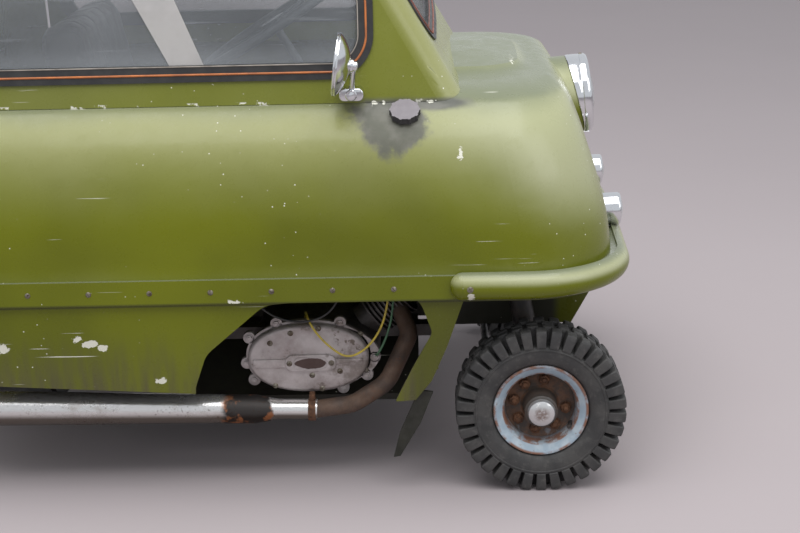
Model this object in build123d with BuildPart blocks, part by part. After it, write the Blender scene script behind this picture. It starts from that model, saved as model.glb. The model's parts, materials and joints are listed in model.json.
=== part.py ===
from build123d import *
from math import acos, atan2, cos, radians, sin, tan
import os

os.makedirs("parts", exist_ok=True)

# Frame: +X forward, +Y to the car's left, +Z up, origin on the ground under the middle of the car.
# All sizes are millimetres.

# Shell mouldings
SKIN = 6.0
SEAM = 0.3
HULL_HALF = 466.0
BOW_SHARE = 0.3
NOSE_BOW = 14.0
TAIL_BOW = 19.0

# Waist flange that joins the upper and the lower moulding
FLANGE_HALF = 474.0
FLANGE_WIDTH = 20.0
FLANGE_BOTTOM = 363.0
FLANGE_TOP = 406.0
FLANGE_FRONT = 666.0
FLANGE_REAR = -689.0
FLANGE_ROUND_FRONT = 170.0
FLANGE_ROUND_REAR = 195.0
BUMPER_START_X = 376.0
BUMPER_HEIGHT = 49.0
BUMPER_DEPTH = 22.0

# Windscreen plane: it leans back from the bonnet
SCREEN_FOOT_X = 390.0
SCREEN_FOOT_Z = 690.0
SCREEN_LEAN = 0.581
GUTTER_Z = 1092.0
CABIN_BOW_FRONT = 6.0
CABIN_BOW_REAR = 16.0

# Lower body
SIDE_TOP_HALF = 464.0
SIDE_FOOT_HALF = 454.0
SIDE_FOOT_Z = 150.0
FLOOR_Z = 232.0
TRAY_Z = 258.0
TRAY_HALF = 292.0
TRAY_FRONT_X = 632.0
BULKHEAD_X = 332.0
BAY_REAR_X = -96.0
BAY_INNER_Y = -160.0
BAY_TOP_Z = 424.0
BAY_SIDE_Y = 440.0
WELL_FRONT_X = -352.0
WELL_LEFT_Y = 85.0
WELL_RIGHT_Y = -112.0
WELL_TOP_Z = 372.0

# Running gear
AXLE_FRONT_X = 511.0
AXLE_REAR_X = -526.0
WHEEL_Y = 420.0
TYRE_RADIUS = 150.0
TYRE_HALF_WIDTH = 44.0
RIM_RADIUS = 83.5
RIM_SEAT_RADIUS = 76.0
BEAD_RADIUS = 85.0
RIM_HALF_WIDTH = 30.0
AXLE_RADIUS = 10.0
RUNNING_FIT = 0.08
KINGPIN_Y = 338.0
KINGPIN_CASTER = 10.0
KINGPIN_RADIUS = 12.0
PILLAR_RADIUS = 20.0
ARM_LENGTH = 80.0

# Door
DOOR_REAR_X = -495.0
DOOR_FRONT_X = 262.0
DOOR_TOP_FRONT_X = 112.0
DOOR_TOP_Z = 1062.0
DOOR_SHOULDER_Z = 800.0
DOOR_GAP = 6.0
DOOR_FRONT_GAP = 9.0
DOOR_BOTTOM_Z = 412.0
HINGE_Y = 480.0
HINGE_BARREL_RADIUS = 7.0
HINGE_PIN_RADIUS = 3.0

# Steering
STEER_HUB_X = 28.0
STEER_HUB_Z = 778.0
STEER_LEAN = 31.0
STEER_WHEEL_RADIUS = 165.0
STEER_RIM_RADIUS = 9.0
COLUMN_RADIUS = 8.0
COLUMN_TUBE_RADIUS = 14.0

# Chain drive
CHAIN_Y = -72.0
CHAIN_WIDTH = 10.0
CHAIN_DEPTH = 7.0
CHAIN_CLEARANCE = 0.4
REAR_SPROCKET_RADIUS = 55.0
DRIVE_SPROCKET_RADIUS = 22.0
DRIVE_X = 20.0
DRIVE_Z = 195.0

# Each level of the lower hull: height, half width, front x, rear x, then how much of the wall's
# thickness points outward and upward there, and the corner radii of the front and the rear.
HULL_LEVELS = [
    (406.0, 466.0, 654.0, -676.0, 1.0, 0.0, 160.0, 185.0),
    (475.0, 465.0, 646.0, -673.0, 1.0, 0.0, 158.0, 185.0),
    (535.0, 461.0, 631.0, -666.0, 0.99, 0.15, 155.0, 180.0),
    (595.0, 449.0, 612.0, -655.0, 0.95, 0.3, 150.0, 175.0),
    (645.0, 427.0, 593.0, -640.0, 0.85, 0.53, 145.0, 165.0),
    (690.0, 382.0, 568.0, -618.0, 0.6, 0.8, 135.0, 150.0),
    (714.0, 305.0, 538.0, -585.0, 0.3, 0.95, 120.0, 130.0),
    (732.0, 195.0, 494.0, -535.0, 0.13, 0.99, 90.0, 100.0),
    (745.0, 70.0, 415.0, -480.0, 0.08, 1.0, 40.0, 45.0),
]

# Each level of the cabin's roof dome, with the same columns
ROOF_LEVELS = [
    (1130.0, 292.0, 118.0, -506.0, 0.75, 0.66, 60.0, 75.0),
    (1157.0, 240.0, 58.0, -455.0, 0.4, 0.92, 60.0, 75.0),
    (1170.0, 140.0, -40.0, -360.0, 0.1, 1.0, 50.0, 60.0),
]


def screen_x(z):
    """Outer face of the windscreen plane at a height."""
    return SCREEN_FOOT_X - SCREEN_LEAN * (z - SCREEN_FOOT_Z)


def cabin_half(z):
    """Half width of the cabin's leaning side walls at a height."""
    return 381.5 - 0.155 * (z - SCREEN_FOOT_Z)


def cabin_rear(z):
    """Rear face of the cabin at a height."""
    return -596.0 + 0.125 * (z - SCREEN_FOOT_Z)


def cabin_level(z):
    """A level of the cabin's straight walls, in the columns of the level tables."""
    return (z, cabin_half(z), screen_x(z), cabin_rear(z), 1.0, 0.0, 45.0, 60.0)


def kingpin_x(z):
    """Kingpin axis at a height: it leans back over the stub axle."""
    return AXLE_FRONT_X - (z - TYRE_RADIUS) * tan(radians(KINGPIN_CASTER))


def column_point(t):
    """Point on the steering column's axis, t below the steering wheel's hub."""
    return (STEER_HUB_X + t * sin(radians(STEER_LEAN)), 0, STEER_HUB_Z - t * cos(radians(STEER_LEAN)))


def plan_outline(half, front, rear, bow_front, bow_rear, round_front, round_rear):
    """Points and corner radii of a plan outline whose front and rear are bowed."""
    points = [
        (rear + bow_rear, -half),
        (front - bow_front, -half),
        (front, 0),
        (front - bow_front, half),
        (rear + bow_rear, half),
        (rear, 0),
    ]
    soft_front = BOW_SHARE * half * half / bow_front
    soft_rear = BOW_SHARE * half * half / bow_rear
    radii = [round_rear, round_front, soft_front, round_front, round_rear, soft_rear]
    return points, radii


def form(levels, inset, bow_front, bow_rear, ruled=False):
    """Solid through plan outlines, moved inward by an inset."""
    with BuildPart() as body:
        for z, half, front, rear, out, up, round_front, round_rear in levels:
            move = inset * out
            share = half / HULL_HALF
            corners, radii = plan_outline(
                half - move, front - move, rear + move, bow_front * share, bow_rear * share,
                round_front - move, round_rear - move,
            )
            with BuildSketch(Plane.XY.offset(z - inset * up)):
                with BuildLine():
                    FilletPolyline(*corners, radius=radii, close=True)
                make_face()
        loft(ruled=ruled)
    return body.part


def hull_form(inset):
    """Lower hull with its nose and tail, moved inward by an inset."""
    sides = form(HULL_LEVELS[:-1], inset, NOSE_BOW, TAIL_BOW)
    crown = form(HULL_LEVELS[-2:], inset, NOSE_BOW, TAIL_BOW, ruled=True)
    return sides + crown


def cabin_form(inset):
    """Cabin walls and roof, moved inward by an inset."""
    wall_levels = [cabin_level(620.0), cabin_level(GUTTER_Z)]
    walls = form(wall_levels, inset, CABIN_BOW_FRONT, CABIN_BOW_REAR, ruled=True)
    dome_levels = [cabin_level(GUTTER_Z)] + ROOF_LEVELS
    dome = form(dome_levels, inset, CABIN_BOW_FRONT, CABIN_BOW_REAR)
    return walls + dome


def waist_plate(shrink, bottom, top):
    """Plate with the waist's plan outline, smaller all round by shrink."""
    corners, radii = plan_outline(
        FLANGE_HALF - shrink, FLANGE_FRONT - shrink, FLANGE_REAR + shrink, NOSE_BOW, TAIL_BOW,
        FLANGE_ROUND_FRONT - shrink, FLANGE_ROUND_REAR - shrink,
    )
    with BuildPart() as plate:
        with BuildSketch(Plane.XY.offset(bottom)):
            with BuildLine():
                FilletPolyline(*corners, radius=radii, close=True)
            make_face()
        extrude(amount=top - bottom)
    return plate.part


def prism(plane, points, radii, grow, depth):
    """Prism from a plane over a rounded outline, its edge moved outward by grow."""
    with BuildPart() as body:
        with BuildSketch(plane):
            with BuildLine():
                FilletPolyline(*points, radius=radii, close=True)
            make_face()
            if grow:
                offset(amount=grow, kind=Kind.ARC)
        extrude(amount=depth)
    return body.part


def block(x0, x1, y0, y1, z0, z1):
    """Plain box between two corners."""
    with BuildPart() as box:
        with Locations(((x0 + x1) / 2, (y0 + y1) / 2, (z0 + z1) / 2)):
            Box(x1 - x0, y1 - y0, z1 - z0)
    return box.part


def rod(start, end, radius):
    """Round bar from one point to another."""
    a = Vector(*start)
    b = Vector(*end)
    with BuildPart() as bar:
        with BuildSketch(Plane(origin=a, z_dir=b - a)):
            Circle(radius)
        extrude(amount=(b - a).length)
    return bar.part


def tube_path(points, radii, radius):
    """Round tube along straight runs and tangent arcs."""
    with BuildPart() as tube:
        with BuildLine() as route:
            FilletPolyline(*points, radius=radii)
        with BuildSketch(Plane(origin=route.line @ 0, z_dir=route.line % 0)):
            Circle(radius)
        sweep(path=route.line)
    return tube.part


def chain_outline():
    """Outer line of the chain: two straight runs tangent to the arcs round both sprockets."""
    span = AXLE_REAR_X - DRIVE_X
    rise = TYRE_RADIUS - DRIVE_Z
    length = (span * span + rise * rise) ** 0.5
    big = REAR_SPROCKET_RADIUS + CHAIN_CLEARANCE + CHAIN_DEPTH
    small = DRIVE_SPROCKET_RADIUS + CHAIN_CLEARANCE + CHAIN_DEPTH
    heading = atan2(rise, span)
    spread = acos((small - big) / length)
    ends = []
    for turn in (heading + spread, heading - spread):
        near = (DRIVE_X + small * cos(turn), DRIVE_Z + small * sin(turn))
        far = (AXLE_REAR_X + big * cos(turn), TYRE_RADIUS + big * sin(turn))
        ends.append((near, far))
    (near_a, far_a), (near_b, far_b) = ends
    front = (DRIVE_X - small * cos(heading), DRIVE_Z - small * sin(heading))
    back = (AXLE_REAR_X + big * cos(heading), TYRE_RADIUS + big * sin(heading))
    Line(near_a, far_a)
    ThreePointArc(far_a, back, far_b)
    Line(far_b, near_b)
    ThreePointArc(near_b, front, near_a)


# Outer and inner surfaces of the two mouldings
hull_outer = hull_form(0)
hull_inner = hull_form(SKIN)
cabin_outer = cabin_form(0)
cabin_inner = cabin_form(SKIN)

# Window outlines are the outer edges of their rubber seals. Window and door outlines are in X and Z
# on the sides, in Y and Z at the rear, in Y and along the slope on the screen.
SEAL_OVER = 12.0
SIDE_WINDOW = [(-515, 731), (232, 731), (232, 872), (126, 1055), (-515, 1055)]
SIDE_WINDOW_RADII = [75, 75, 60, 60, 75]
REAR_WINDOW = [(-245, 760), (245, 760), (225, 1025), (-225, 1025)]
REAR_WINDOW_RADII = [60, 60, 60, 60]
SCREEN = [(-324, -176), (324, -176), (278, 170), (-278, 170)]
SCREEN_RADII = [60, 60, 60, 60]
DOOR_OPENING = [
    (DOOR_REAR_X, DOOR_BOTTOM_Z - DOOR_GAP),
    (DOOR_FRONT_X, DOOR_BOTTOM_Z - DOOR_GAP),
    (DOOR_FRONT_X, DOOR_SHOULDER_Z),
    (DOOR_TOP_FRONT_X, DOOR_TOP_Z),
    (DOOR_REAR_X, DOOR_TOP_Z),
]
DOOR_OPENING_RADII = [0, 0, 60, 60, 50]
DOOR_LEAF = [
    (DOOR_REAR_X + DOOR_GAP, DOOR_BOTTOM_Z),
    (DOOR_FRONT_X - DOOR_FRONT_GAP, DOOR_BOTTOM_Z),
    (DOOR_FRONT_X - DOOR_FRONT_GAP, DOOR_SHOULDER_Z - 2),
    (DOOR_TOP_FRONT_X - DOOR_FRONT_GAP, DOOR_TOP_Z - DOOR_GAP),
    (DOOR_REAR_X + DOOR_GAP, DOOR_TOP_Z - DOOR_GAP),
]
DOOR_LEAF_RADII = [20, 20, 55, 55, 45]
DOOR_WINDOW = [(-462, 728), (214, 728), (214, 822), (87, 1022), (-462, 1022)]
DOOR_WINDOW_RADII = [60, 60, 50, 50, 60]

right_plane = Plane.XZ.offset(200)
left_plane = Plane.XZ.offset(-560)
rear_plane = Plane(origin=(-700, 0, 0), x_dir=(0, 1, 0), z_dir=(1, 0, 0))
screen_plane = Plane(
    origin=(screen_x(930), 0, 930), x_dir=(0, 1, 0), z_dir=(1, 0, SCREEN_LEAN)
).offset(-60)
OPENING_DEPTH = 400.0
REAR_DEPTH = 220.0
SCREEN_DEPTH = 120.0

side_window_cut = prism(right_plane, SIDE_WINDOW, SIDE_WINDOW_RADII, -SEAL_OVER, OPENING_DEPTH)
rear_window_cut = prism(rear_plane, REAR_WINDOW, REAR_WINDOW_RADII, -SEAL_OVER, REAR_DEPTH)
screen_cut = prism(screen_plane, SCREEN, SCREEN_RADII, -SEAL_OVER, SCREEN_DEPTH)
door_cut = prism(left_plane, DOOR_OPENING, DOOR_OPENING_RADII, 0, OPENING_DEPTH)
door_slab = prism(left_plane, DOOR_LEAF, DOOR_LEAF_RADII, 0, OPENING_DEPTH)
door_window_cut = prism(left_plane, DOOR_WINDOW, DOOR_WINDOW_RADII, -SEAL_OVER, OPENING_DEPTH)

# Upper hull: bulging sides, nose and tail in one moulding
with BuildPart() as upper_hull:
    add(hull_outer)
    add(hull_inner, mode=Mode.SUBTRACT)
    add(cabin_inner, mode=Mode.SUBTRACT)
    add(door_cut, mode=Mode.SUBTRACT)
upper_hull.part.label = "upper_hull"
export_step(upper_hull.part, "parts/upper_hull.step")

# Cabin: leaning walls and domed roof, standing on the hull's shoulder
cabin_wall = cabin_outer - cabin_inner - hull_outer
with BuildPart() as cabin_shell:
    add(cabin_wall)
    add(side_window_cut, mode=Mode.SUBTRACT)
    add(rear_window_cut, mode=Mode.SUBTRACT)
    add(screen_cut, mode=Mode.SUBTRACT)
    add(door_cut, mode=Mode.SUBTRACT)
cabin_shell.part.label = "cabin_shell"
export_step(cabin_shell.part, "parts/cabin_shell.step")

# Door leaf: the same two skins inside the door's outline
with BuildPart() as door_panel:
    add(hull_outer)
    add(hull_inner, mode=Mode.SUBTRACT)
    add(cabin_inner, mode=Mode.SUBTRACT)
    add(cabin_wall)
    add(door_slab, mode=Mode.INTERSECT)
    add(door_window_cut, mode=Mode.SUBTRACT)
door_panel.part.label = "door_panel"
export_step(door_panel.part, "parts/door_panel.step")

# Glass and rubber seals
GLASS_OUTER = 1.5
GLASS_INNER = 4.5
SEAL_OUT = 4.0
SEAL_IN = 4.0
SEAL_REACH = 16.0
glass_layer = cabin_form(GLASS_OUTER) - cabin_form(GLASS_INNER)
seal_layer = cabin_form(-SEAL_OUT) - cabin_form(SKIN + SEAL_IN)


def pane(plane, points, radii, depth):
    """Window pane between the two skins of its seal."""
    return glass_layer & prism(plane, points, radii, -SEAL_OVER - SEAM, depth)


def seal(plane, points, radii, depth, glass):
    """Rubber seal that grips the wall's edge and the pane."""
    ring = prism(plane, points, radii, 0, depth) - prism(plane, points, radii, -SEAL_OVER - SEAL_REACH, depth)
    hole = prism(plane, points, radii, -SEAL_OVER, depth)
    lips = (seal_layer & ring) - (cabin_wall - hole)
    return lips - glass


# Each window: plane, outline, corner radii and depth of its prism
FIXED_WINDOWS = [
    (screen_plane, SCREEN, SCREEN_RADII, SCREEN_DEPTH),
    (right_plane, SIDE_WINDOW, SIDE_WINDOW_RADII, OPENING_DEPTH),
    (rear_plane, REAR_WINDOW, REAR_WINDOW_RADII, REAR_DEPTH),
]
DOOR_WINDOWS = [(left_plane, DOOR_WINDOW, DOOR_WINDOW_RADII, OPENING_DEPTH)]
for name, windows in (("cabin", FIXED_WINDOWS), ("door", DOOR_WINDOWS)):
    panes = [pane(*window) for window in windows]
    with BuildPart() as window_glass:
        for glass in panes:
            add(glass)
    window_glass.part.label = name + "_glass"
    export_step(window_glass.part, "parts/" + name + "_glass.step")
    with BuildPart() as window_seals:
        for window, glass in zip(windows, panes):
            add(seal(*window, glass))
    window_seals.part.label = name + "_seals"
    export_step(window_seals.part, "parts/" + name + "_seals.step")

# Waist flange: the strip where the two mouldings meet
with BuildPart() as waist_flange:
    add(waist_plate(0, FLANGE_BOTTOM, FLANGE_TOP))
    add(waist_plate(FLANGE_WIDTH, FLANGE_BOTTOM, FLANGE_TOP), mode=Mode.SUBTRACT)
waist_flange.part.label = "waist_flange"
export_step(waist_flange.part, "parts/waist_flange.step")

# Front bumper: a half round moulding along the flange's face, round the nose
bumper_middle_z = (FLANGE_BOTTOM + FLANGE_TOP) / 2 + 3
with BuildPart() as front_bumper:
    with BuildLine(Plane.XY.offset(bumper_middle_z)) as bumper_route:
        FilletPolyline(
            (BUMPER_START_X, -FLANGE_HALF),
            (FLANGE_FRONT - NOSE_BOW, -FLANGE_HALF),
            (FLANGE_FRONT, 0),
            (FLANGE_FRONT - NOSE_BOW, FLANGE_HALF),
            (BUMPER_START_X, FLANGE_HALF),
            radius=[FLANGE_ROUND_FRONT, BOW_SHARE * FLANGE_HALF ** 2 / NOSE_BOW, FLANGE_ROUND_FRONT],
        )
    bumper_start = Plane(
        origin=(BUMPER_START_X, -FLANGE_HALF, bumper_middle_z), x_dir=(0, -1, 0), z_dir=(1, 0, 0)
    )
    with BuildSketch(bumper_start):
        with BuildLine():
            ThreePointArc((0, -BUMPER_HEIGHT / 2), (BUMPER_DEPTH, 0), (0, BUMPER_HEIGHT / 2))
            Line((0, BUMPER_HEIGHT / 2), (0, -BUMPER_HEIGHT / 2))
        make_face()
    sweep(path=bumper_route.line)
front_bumper.part.label = "front_bumper"
export_step(front_bumper.part, "parts/front_bumper.step")

# Lower body: side panels, floor, engine bay, rear wheel well and front tray in one moulding
side_levels = [
    (SIDE_FOOT_Z, SIDE_FOOT_HALF, 656.0, -664.0, 1.0, 0.0, 160.0, 185.0),
    (FLANGE_BOTTOM, SIDE_TOP_HALF, 656.0, -679.0, 1.0, 0.0, 160.0, 185.0),
]
side_outer = form(side_levels, 0, NOSE_BOW, TAIL_BOW, ruled=True)
side_inner = form(side_levels, SKIN, NOSE_BOW, TAIL_BOW, ruled=True)
SIDE_KEEP = [(-720, 364), (379, 364), (347, 272), (320, 210), (291, 174), (262, 172), (-720, 230)]
ENGINE_CUT = [
    (-98, 130), (-94, 205), (-72, 266), (34, 356), (150, 366), (300, 366), (323, 300), (286, 233),
    (256, 172), (248, 130),
]
ENGINE_CUT_RADII = [0, 40, 50, 50, 100, 30, 20, 40, 40, 0]
with BuildPart() as lower_body:
    add(side_outer)
    add(side_inner, mode=Mode.SUBTRACT)
    add(prism(Plane.XZ.offset(-600), SIDE_KEEP, [0] * 7, 0, 1200), mode=Mode.INTERSECT)
    # Floor up to the bulkhead
    add(block(-720, BULKHEAD_X, -470, 470, FLOOR_Z, FLOOR_Z + SKIN) & side_outer)
    # Walls of the engine bay and its cover
    add(block(BAY_REAR_X - SKIN, BULKHEAD_X, -453, BAY_INNER_Y + SKIN, FLOOR_Z, BAY_TOP_Z))
    add(
        block(BAY_REAR_X, BULKHEAD_X - SKIN, -454, BAY_INNER_Y, FLOOR_Z - 20, BAY_TOP_Z - SKIN),
        mode=Mode.SUBTRACT,
    )
    # Rear wheel well
    add(block(-640, WELL_FRONT_X + SKIN, WELL_RIGHT_Y - SKIN, WELL_LEFT_Y + SKIN, FLOOR_Z, WELL_TOP_Z))
    add(
        block(-720, WELL_FRONT_X, WELL_RIGHT_Y, WELL_LEFT_Y, FLOOR_Z - 20, WELL_TOP_Z - SKIN),
        mode=Mode.SUBTRACT,
    )
    # Front tray between the wheels, with the bulkhead behind it and the roofs of the wheel arches
    add(block(BULKHEAD_X - SKIN, TRAY_FRONT_X, -TRAY_HALF, TRAY_HALF, TRAY_Z, FLANGE_BOTTOM))
    add(
        block(
            BULKHEAD_X, TRAY_FRONT_X - SKIN, -TRAY_HALF + SKIN, TRAY_HALF - SKIN, TRAY_Z + SKIN,
            FLANGE_BOTTOM + 1,
        ),
        mode=Mode.SUBTRACT,
    )
    add(block(BULKHEAD_X - SKIN, BULKHEAD_X, -452, 452, FLOOR_Z, FLANGE_BOTTOM))
    footwell_right_y = BAY_INNER_Y + SKIN
    add(
        block(
            BULKHEAD_X - SKIN - 1, BULKHEAD_X + 1, footwell_right_y, TRAY_HALF - SKIN, TRAY_Z + SKIN,
            FLANGE_BOTTOM + 1,
        ),
        mode=Mode.SUBTRACT,
    )
    arch_roof = block(BULKHEAD_X, 700, -500, 500, FLANGE_BOTTOM - SKIN, FLANGE_BOTTOM) & side_outer
    add(arch_roof - block(BULKHEAD_X, TRAY_FRONT_X - SKIN, -TRAY_HALF + SKIN, TRAY_HALF - SKIN, 300, 400))
    # Cut-out in the right side panel over the engine
    add(prism(Plane.XZ.offset(BAY_SIDE_Y), ENGINE_CUT, ENGINE_CUT_RADII, 0, 100), mode=Mode.SUBTRACT)
lower_body.part.label = "lower_body"
export_step(lower_body.part, "parts/lower_body.step")

# Headlamp: fairing on the nose, chrome rim and lens
LAMP_X = 620.0
LAMP_Z = 629.0
LAMP_TILT = 5.0
LAMP_RADIUS = 76.0
lamp_plane = Plane(
    origin=(LAMP_X, 0, LAMP_Z), x_dir=(0, 1, 0),
    z_dir=(cos(radians(LAMP_TILT)), 0, sin(radians(LAMP_TILT))),
)
with BuildPart() as headlamp_pod:
    with BuildSketch(lamp_plane):
        Circle(LAMP_RADIUS - 3)
    extrude(amount=-110, taper=-4)
    add(hull_outer, mode=Mode.SUBTRACT)
headlamp_pod.part.label = "headlamp_pod"
export_step(headlamp_pod.part, "parts/headlamp_pod.step")

RIM_DEPTH = 16.0
with BuildPart() as headlamp_rim:
    with BuildSketch(lamp_plane):
        Circle(LAMP_RADIUS)
    extrude(amount=RIM_DEPTH)
    fillet(headlamp_rim.edges().filter_by(GeomType.CIRCLE).group_by(Axis.X)[-1], 7)
    with BuildSketch(lamp_plane.offset(2)):
        Circle(LAMP_RADIUS - 9)
    extrude(amount=RIM_DEPTH, mode=Mode.SUBTRACT)
    add(hull_outer, mode=Mode.SUBTRACT)
headlamp_rim.part.label = "headlamp_rim"
export_step(headlamp_rim.part, "parts/headlamp_rim.step")

with BuildPart() as headlamp_lens:
    with BuildSketch(Plane.XZ):
        with BuildLine():
            Line((0, 2.2), (0, 27))
            ThreePointArc((0, 27), (40, 21), (LAMP_RADIUS - 9.3, 9))
            Line((LAMP_RADIUS - 9.3, 9), (LAMP_RADIUS - 9.3, 2.2))
            Line((LAMP_RADIUS - 9.3, 2.2), (0, 2.2))
        make_face()
    revolve(axis=Axis.Z)


def lamp_body(x, y, z, radius, back, front):
    """Round lamp shell lying along X from back to front of its face."""
    return rod((x + back, y, z), (x + front, y, z), radius)


# Small front lamps and tail lamps
FRONT_LAMP_Y = 163.0
FRONT_LAMP_Z = 438.0
FRONT_LAMP_X = 652.0
FRONT_LAMP_RADIUS = 31.0
TAIL_LAMP_Y = 250.0
TAIL_LAMP_Z = 480.0
TAIL_LAMP_X = -680.0
TAIL_LAMP_RADIUS = 26.0
with BuildPart() as front_lamps:
    for side in (-1, 1):
        add(lamp_body(FRONT_LAMP_X, side * FRONT_LAMP_Y, FRONT_LAMP_Z, FRONT_LAMP_RADIUS, -30, 0))
    add(hull_outer, mode=Mode.SUBTRACT)
front_lamps.part.label = "front_lamps"
export_step(front_lamps.part, "parts/front_lamps.step")
with BuildPart() as lamp_lenses:
    for side in (-1, 1):
        add(lamp_body(FRONT_LAMP_X, side * FRONT_LAMP_Y, FRONT_LAMP_Z, FRONT_LAMP_RADIUS - 6, 0, 14))
    fillet(lamp_lenses.edges().filter_by(GeomType.CIRCLE).group_by(Axis.X)[-1], 10)
    add(lamp_plane.location * headlamp_lens.part)
lamp_lenses.part.label = "lamp_lenses"
export_step(lamp_lenses.part, "parts/lamp_lenses.step")
with BuildPart() as tail_lamps:
    for side in (-1, 1):
        add(lamp_body(TAIL_LAMP_X, side * TAIL_LAMP_Y, TAIL_LAMP_Z, TAIL_LAMP_RADIUS, 0, 50))
    add(hull_outer, mode=Mode.SUBTRACT)
tail_lamps.part.label = "tail_lamps"
export_step(tail_lamps.part, "parts/tail_lamps.step")

# Lifting handle on the tail
HANDLE_Z = 585.0
HANDLE_HALF = 80.0
HANDLE_X = -683.0
with BuildPart() as lift_handle:
    add(tube_path(
        [(-650, -HANDLE_HALF, HANDLE_Z), (HANDLE_X, -HANDLE_HALF, HANDLE_Z),
         (HANDLE_X, HANDLE_HALF, HANDLE_Z), (-650, HANDLE_HALF, HANDLE_Z)], [16, 16], 7))
    add(hull_outer, mode=Mode.SUBTRACT)
lift_handle.part.label = "lift_handle"
export_step(lift_handle.part, "parts/lift_handle.step")

# Fuel filler cap on the right shoulder, leaning outward
CAP_X = 283.0
CAP_Y = -402.0
CAP_Z = 672.0
CAP_LEAN = 32.0
CAP_RADIUS = 26.5
cap_plane = Plane(
    origin=(CAP_X, CAP_Y, CAP_Z), x_dir=(1, 0, 0),
    z_dir=(0, -sin(radians(CAP_LEAN)), cos(radians(CAP_LEAN))),
)
with BuildPart() as filler_cap:
    with BuildSketch(cap_plane.offset(1)):
        Circle(CAP_RADIUS - 2)
        with PolarLocations(CAP_RADIUS - 3.5, 10):
            Circle(3.5)
    extrude(amount=12)
    with BuildSketch(cap_plane.offset(-16)):
        Circle(19)
    extrude(amount=17)
    add(hull_outer, mode=Mode.SUBTRACT)
filler_cap.part.label = "filler_cap"
export_step(filler_cap.part, "parts/filler_cap.step")

# Round mirror on the right side wall, facing rearward
MIRROR_X = 180.0
MIRROR_Y = -435.0
MIRROR_Z = 760.0
MIRROR_RADIUS = 50.0
with BuildPart() as wing_mirror:
    add(rod((MIRROR_X - 8, MIRROR_Y, MIRROR_Z), (MIRROR_X + 6, MIRROR_Y, MIRROR_Z), MIRROR_RADIUS))
    add(rod((MIRROR_X + 10, MIRROR_Y, MIRROR_Z), (MIRROR_X + 10, MIRROR_Y + 33, MIRROR_Z - 55), 5))
    add(rod((MIRROR_X, MIRROR_Y, MIRROR_Z), (MIRROR_X + 18, MIRROR_Y, MIRROR_Z), 10))
    add(rod((MIRROR_X + 10, MIRROR_Y + 28, MIRROR_Z - 57), (MIRROR_X + 10, -360, MIRROR_Z - 57), 11))
    add(cabin_outer, mode=Mode.SUBTRACT)
wing_mirror.part.label = "wing_mirror"
export_step(wing_mirror.part, "parts/wing_mirror.step")

# Wiper on the windscreen: spindle, arm and blade
face = screen_plane.offset(60)
with BuildPart() as wiper:
    with BuildSketch(face.offset(-1)):
        with Locations((0, -190)):
            Circle(10)
    extrude(amount=16)
    with BuildSketch(face.offset(9)):
        with Locations((0, -85)):
            Rectangle(8, 210)
    extrude(amount=4)
    with BuildSketch(face.offset(5.2)):
        with Locations((0, 10)):
            Rectangle(6, 250)
    extrude(amount=8)
    add(cabin_outer, mode=Mode.SUBTRACT)
wiper.part.label = "wiper"
export_step(wiper.part, "parts/wiper.step")

# Seat: box on the floor, cushion and leaning back
SEAT_RIGHT_Y = -150.0
SEAT_LEFT_Y = 320.0
SEAT_TOP_Z = 420.0
with BuildPart() as seat_base:
    add(block(-342, 40, SEAT_RIGHT_Y, SEAT_LEFT_Y, FLOOR_Z + SKIN, SEAT_TOP_Z))
    add(block(-336, 34, SEAT_RIGHT_Y + SKIN, SEAT_LEFT_Y - SKIN, FLOOR_Z, SEAT_TOP_Z - SKIN),
        mode=Mode.SUBTRACT)
seat_base.part.label = "seat_base"
export_step(seat_base.part, "parts/seat_base.step")
with BuildPart() as seat_cushion:
    add(block(-250, 50, SEAT_RIGHT_Y + 4, SEAT_LEFT_Y - 4, SEAT_TOP_Z + SEAM, SEAT_TOP_Z + 80))
    fillet(seat_cushion.edges().filter_by(Axis.Z), 40)
    fillet(seat_cushion.edges().group_by(Axis.Z)[-1], 22)
seat_cushion.part.label = "seat_cushion"
export_step(seat_cushion.part, "parts/seat_cushion.step")
BACK_LEAN = 12.0
back_plane = Plane(
    origin=(-255, 0, SEAT_TOP_Z + SEAM), x_dir=(0, 1, 0),
    z_dir=(cos(radians(BACK_LEAN)), 0, sin(radians(BACK_LEAN))),
)
with BuildPart() as seat_back:
    with BuildSketch(back_plane):
        with Locations(((SEAT_RIGHT_Y + SEAT_LEFT_Y) / 2, 205)):
            RectangleRounded(SEAT_LEFT_Y - SEAT_RIGHT_Y - 8, 400, 50)
    extrude(amount=-60)
    add(block(-600, 0, -500, 500, 300, SEAT_TOP_Z + SEAM), mode=Mode.SUBTRACT)
seat_back.part.label = "seat_back"
export_step(seat_back.part, "parts/seat_back.step")

# Dashboard shelf across the cabin with the instrument pod under it
DASH_Z = 712.0
with BuildPart() as dashboard:
    add(cabin_form(SKIN + SEAM) & block(258, 420, -400, 400, DASH_Z, DASH_Z + SKIN))
    add(block(262, 320, -60, 60, DASH_Z - 70, DASH_Z))
dashboard.part.label = "dashboard"
export_step(dashboard.part, "parts/dashboard.step")

# Steering column: fixed tube, foot block on the tray and a stay to the dashboard
with BuildPart() as steering_column:
    add(rod(column_point(140), column_point(586), COLUMN_TUBE_RADIUS))
    add(block(BULKHEAD_X - 4, 376, -22, 22, TRAY_Z + SKIN, TRAY_Z + 46))
    add(rod(column_point(210), (300, 0, DASH_Z - 80), 7))
    add(block(286, 314, -14, 14, DASH_Z - 88, DASH_Z - 70))
    add(rod(column_point(100), column_point(640), COLUMN_RADIUS + RUNNING_FIT), mode=Mode.SUBTRACT)
steering_column.part.label = "steering_column"
export_step(steering_column.part, "parts/steering_column.step")

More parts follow.
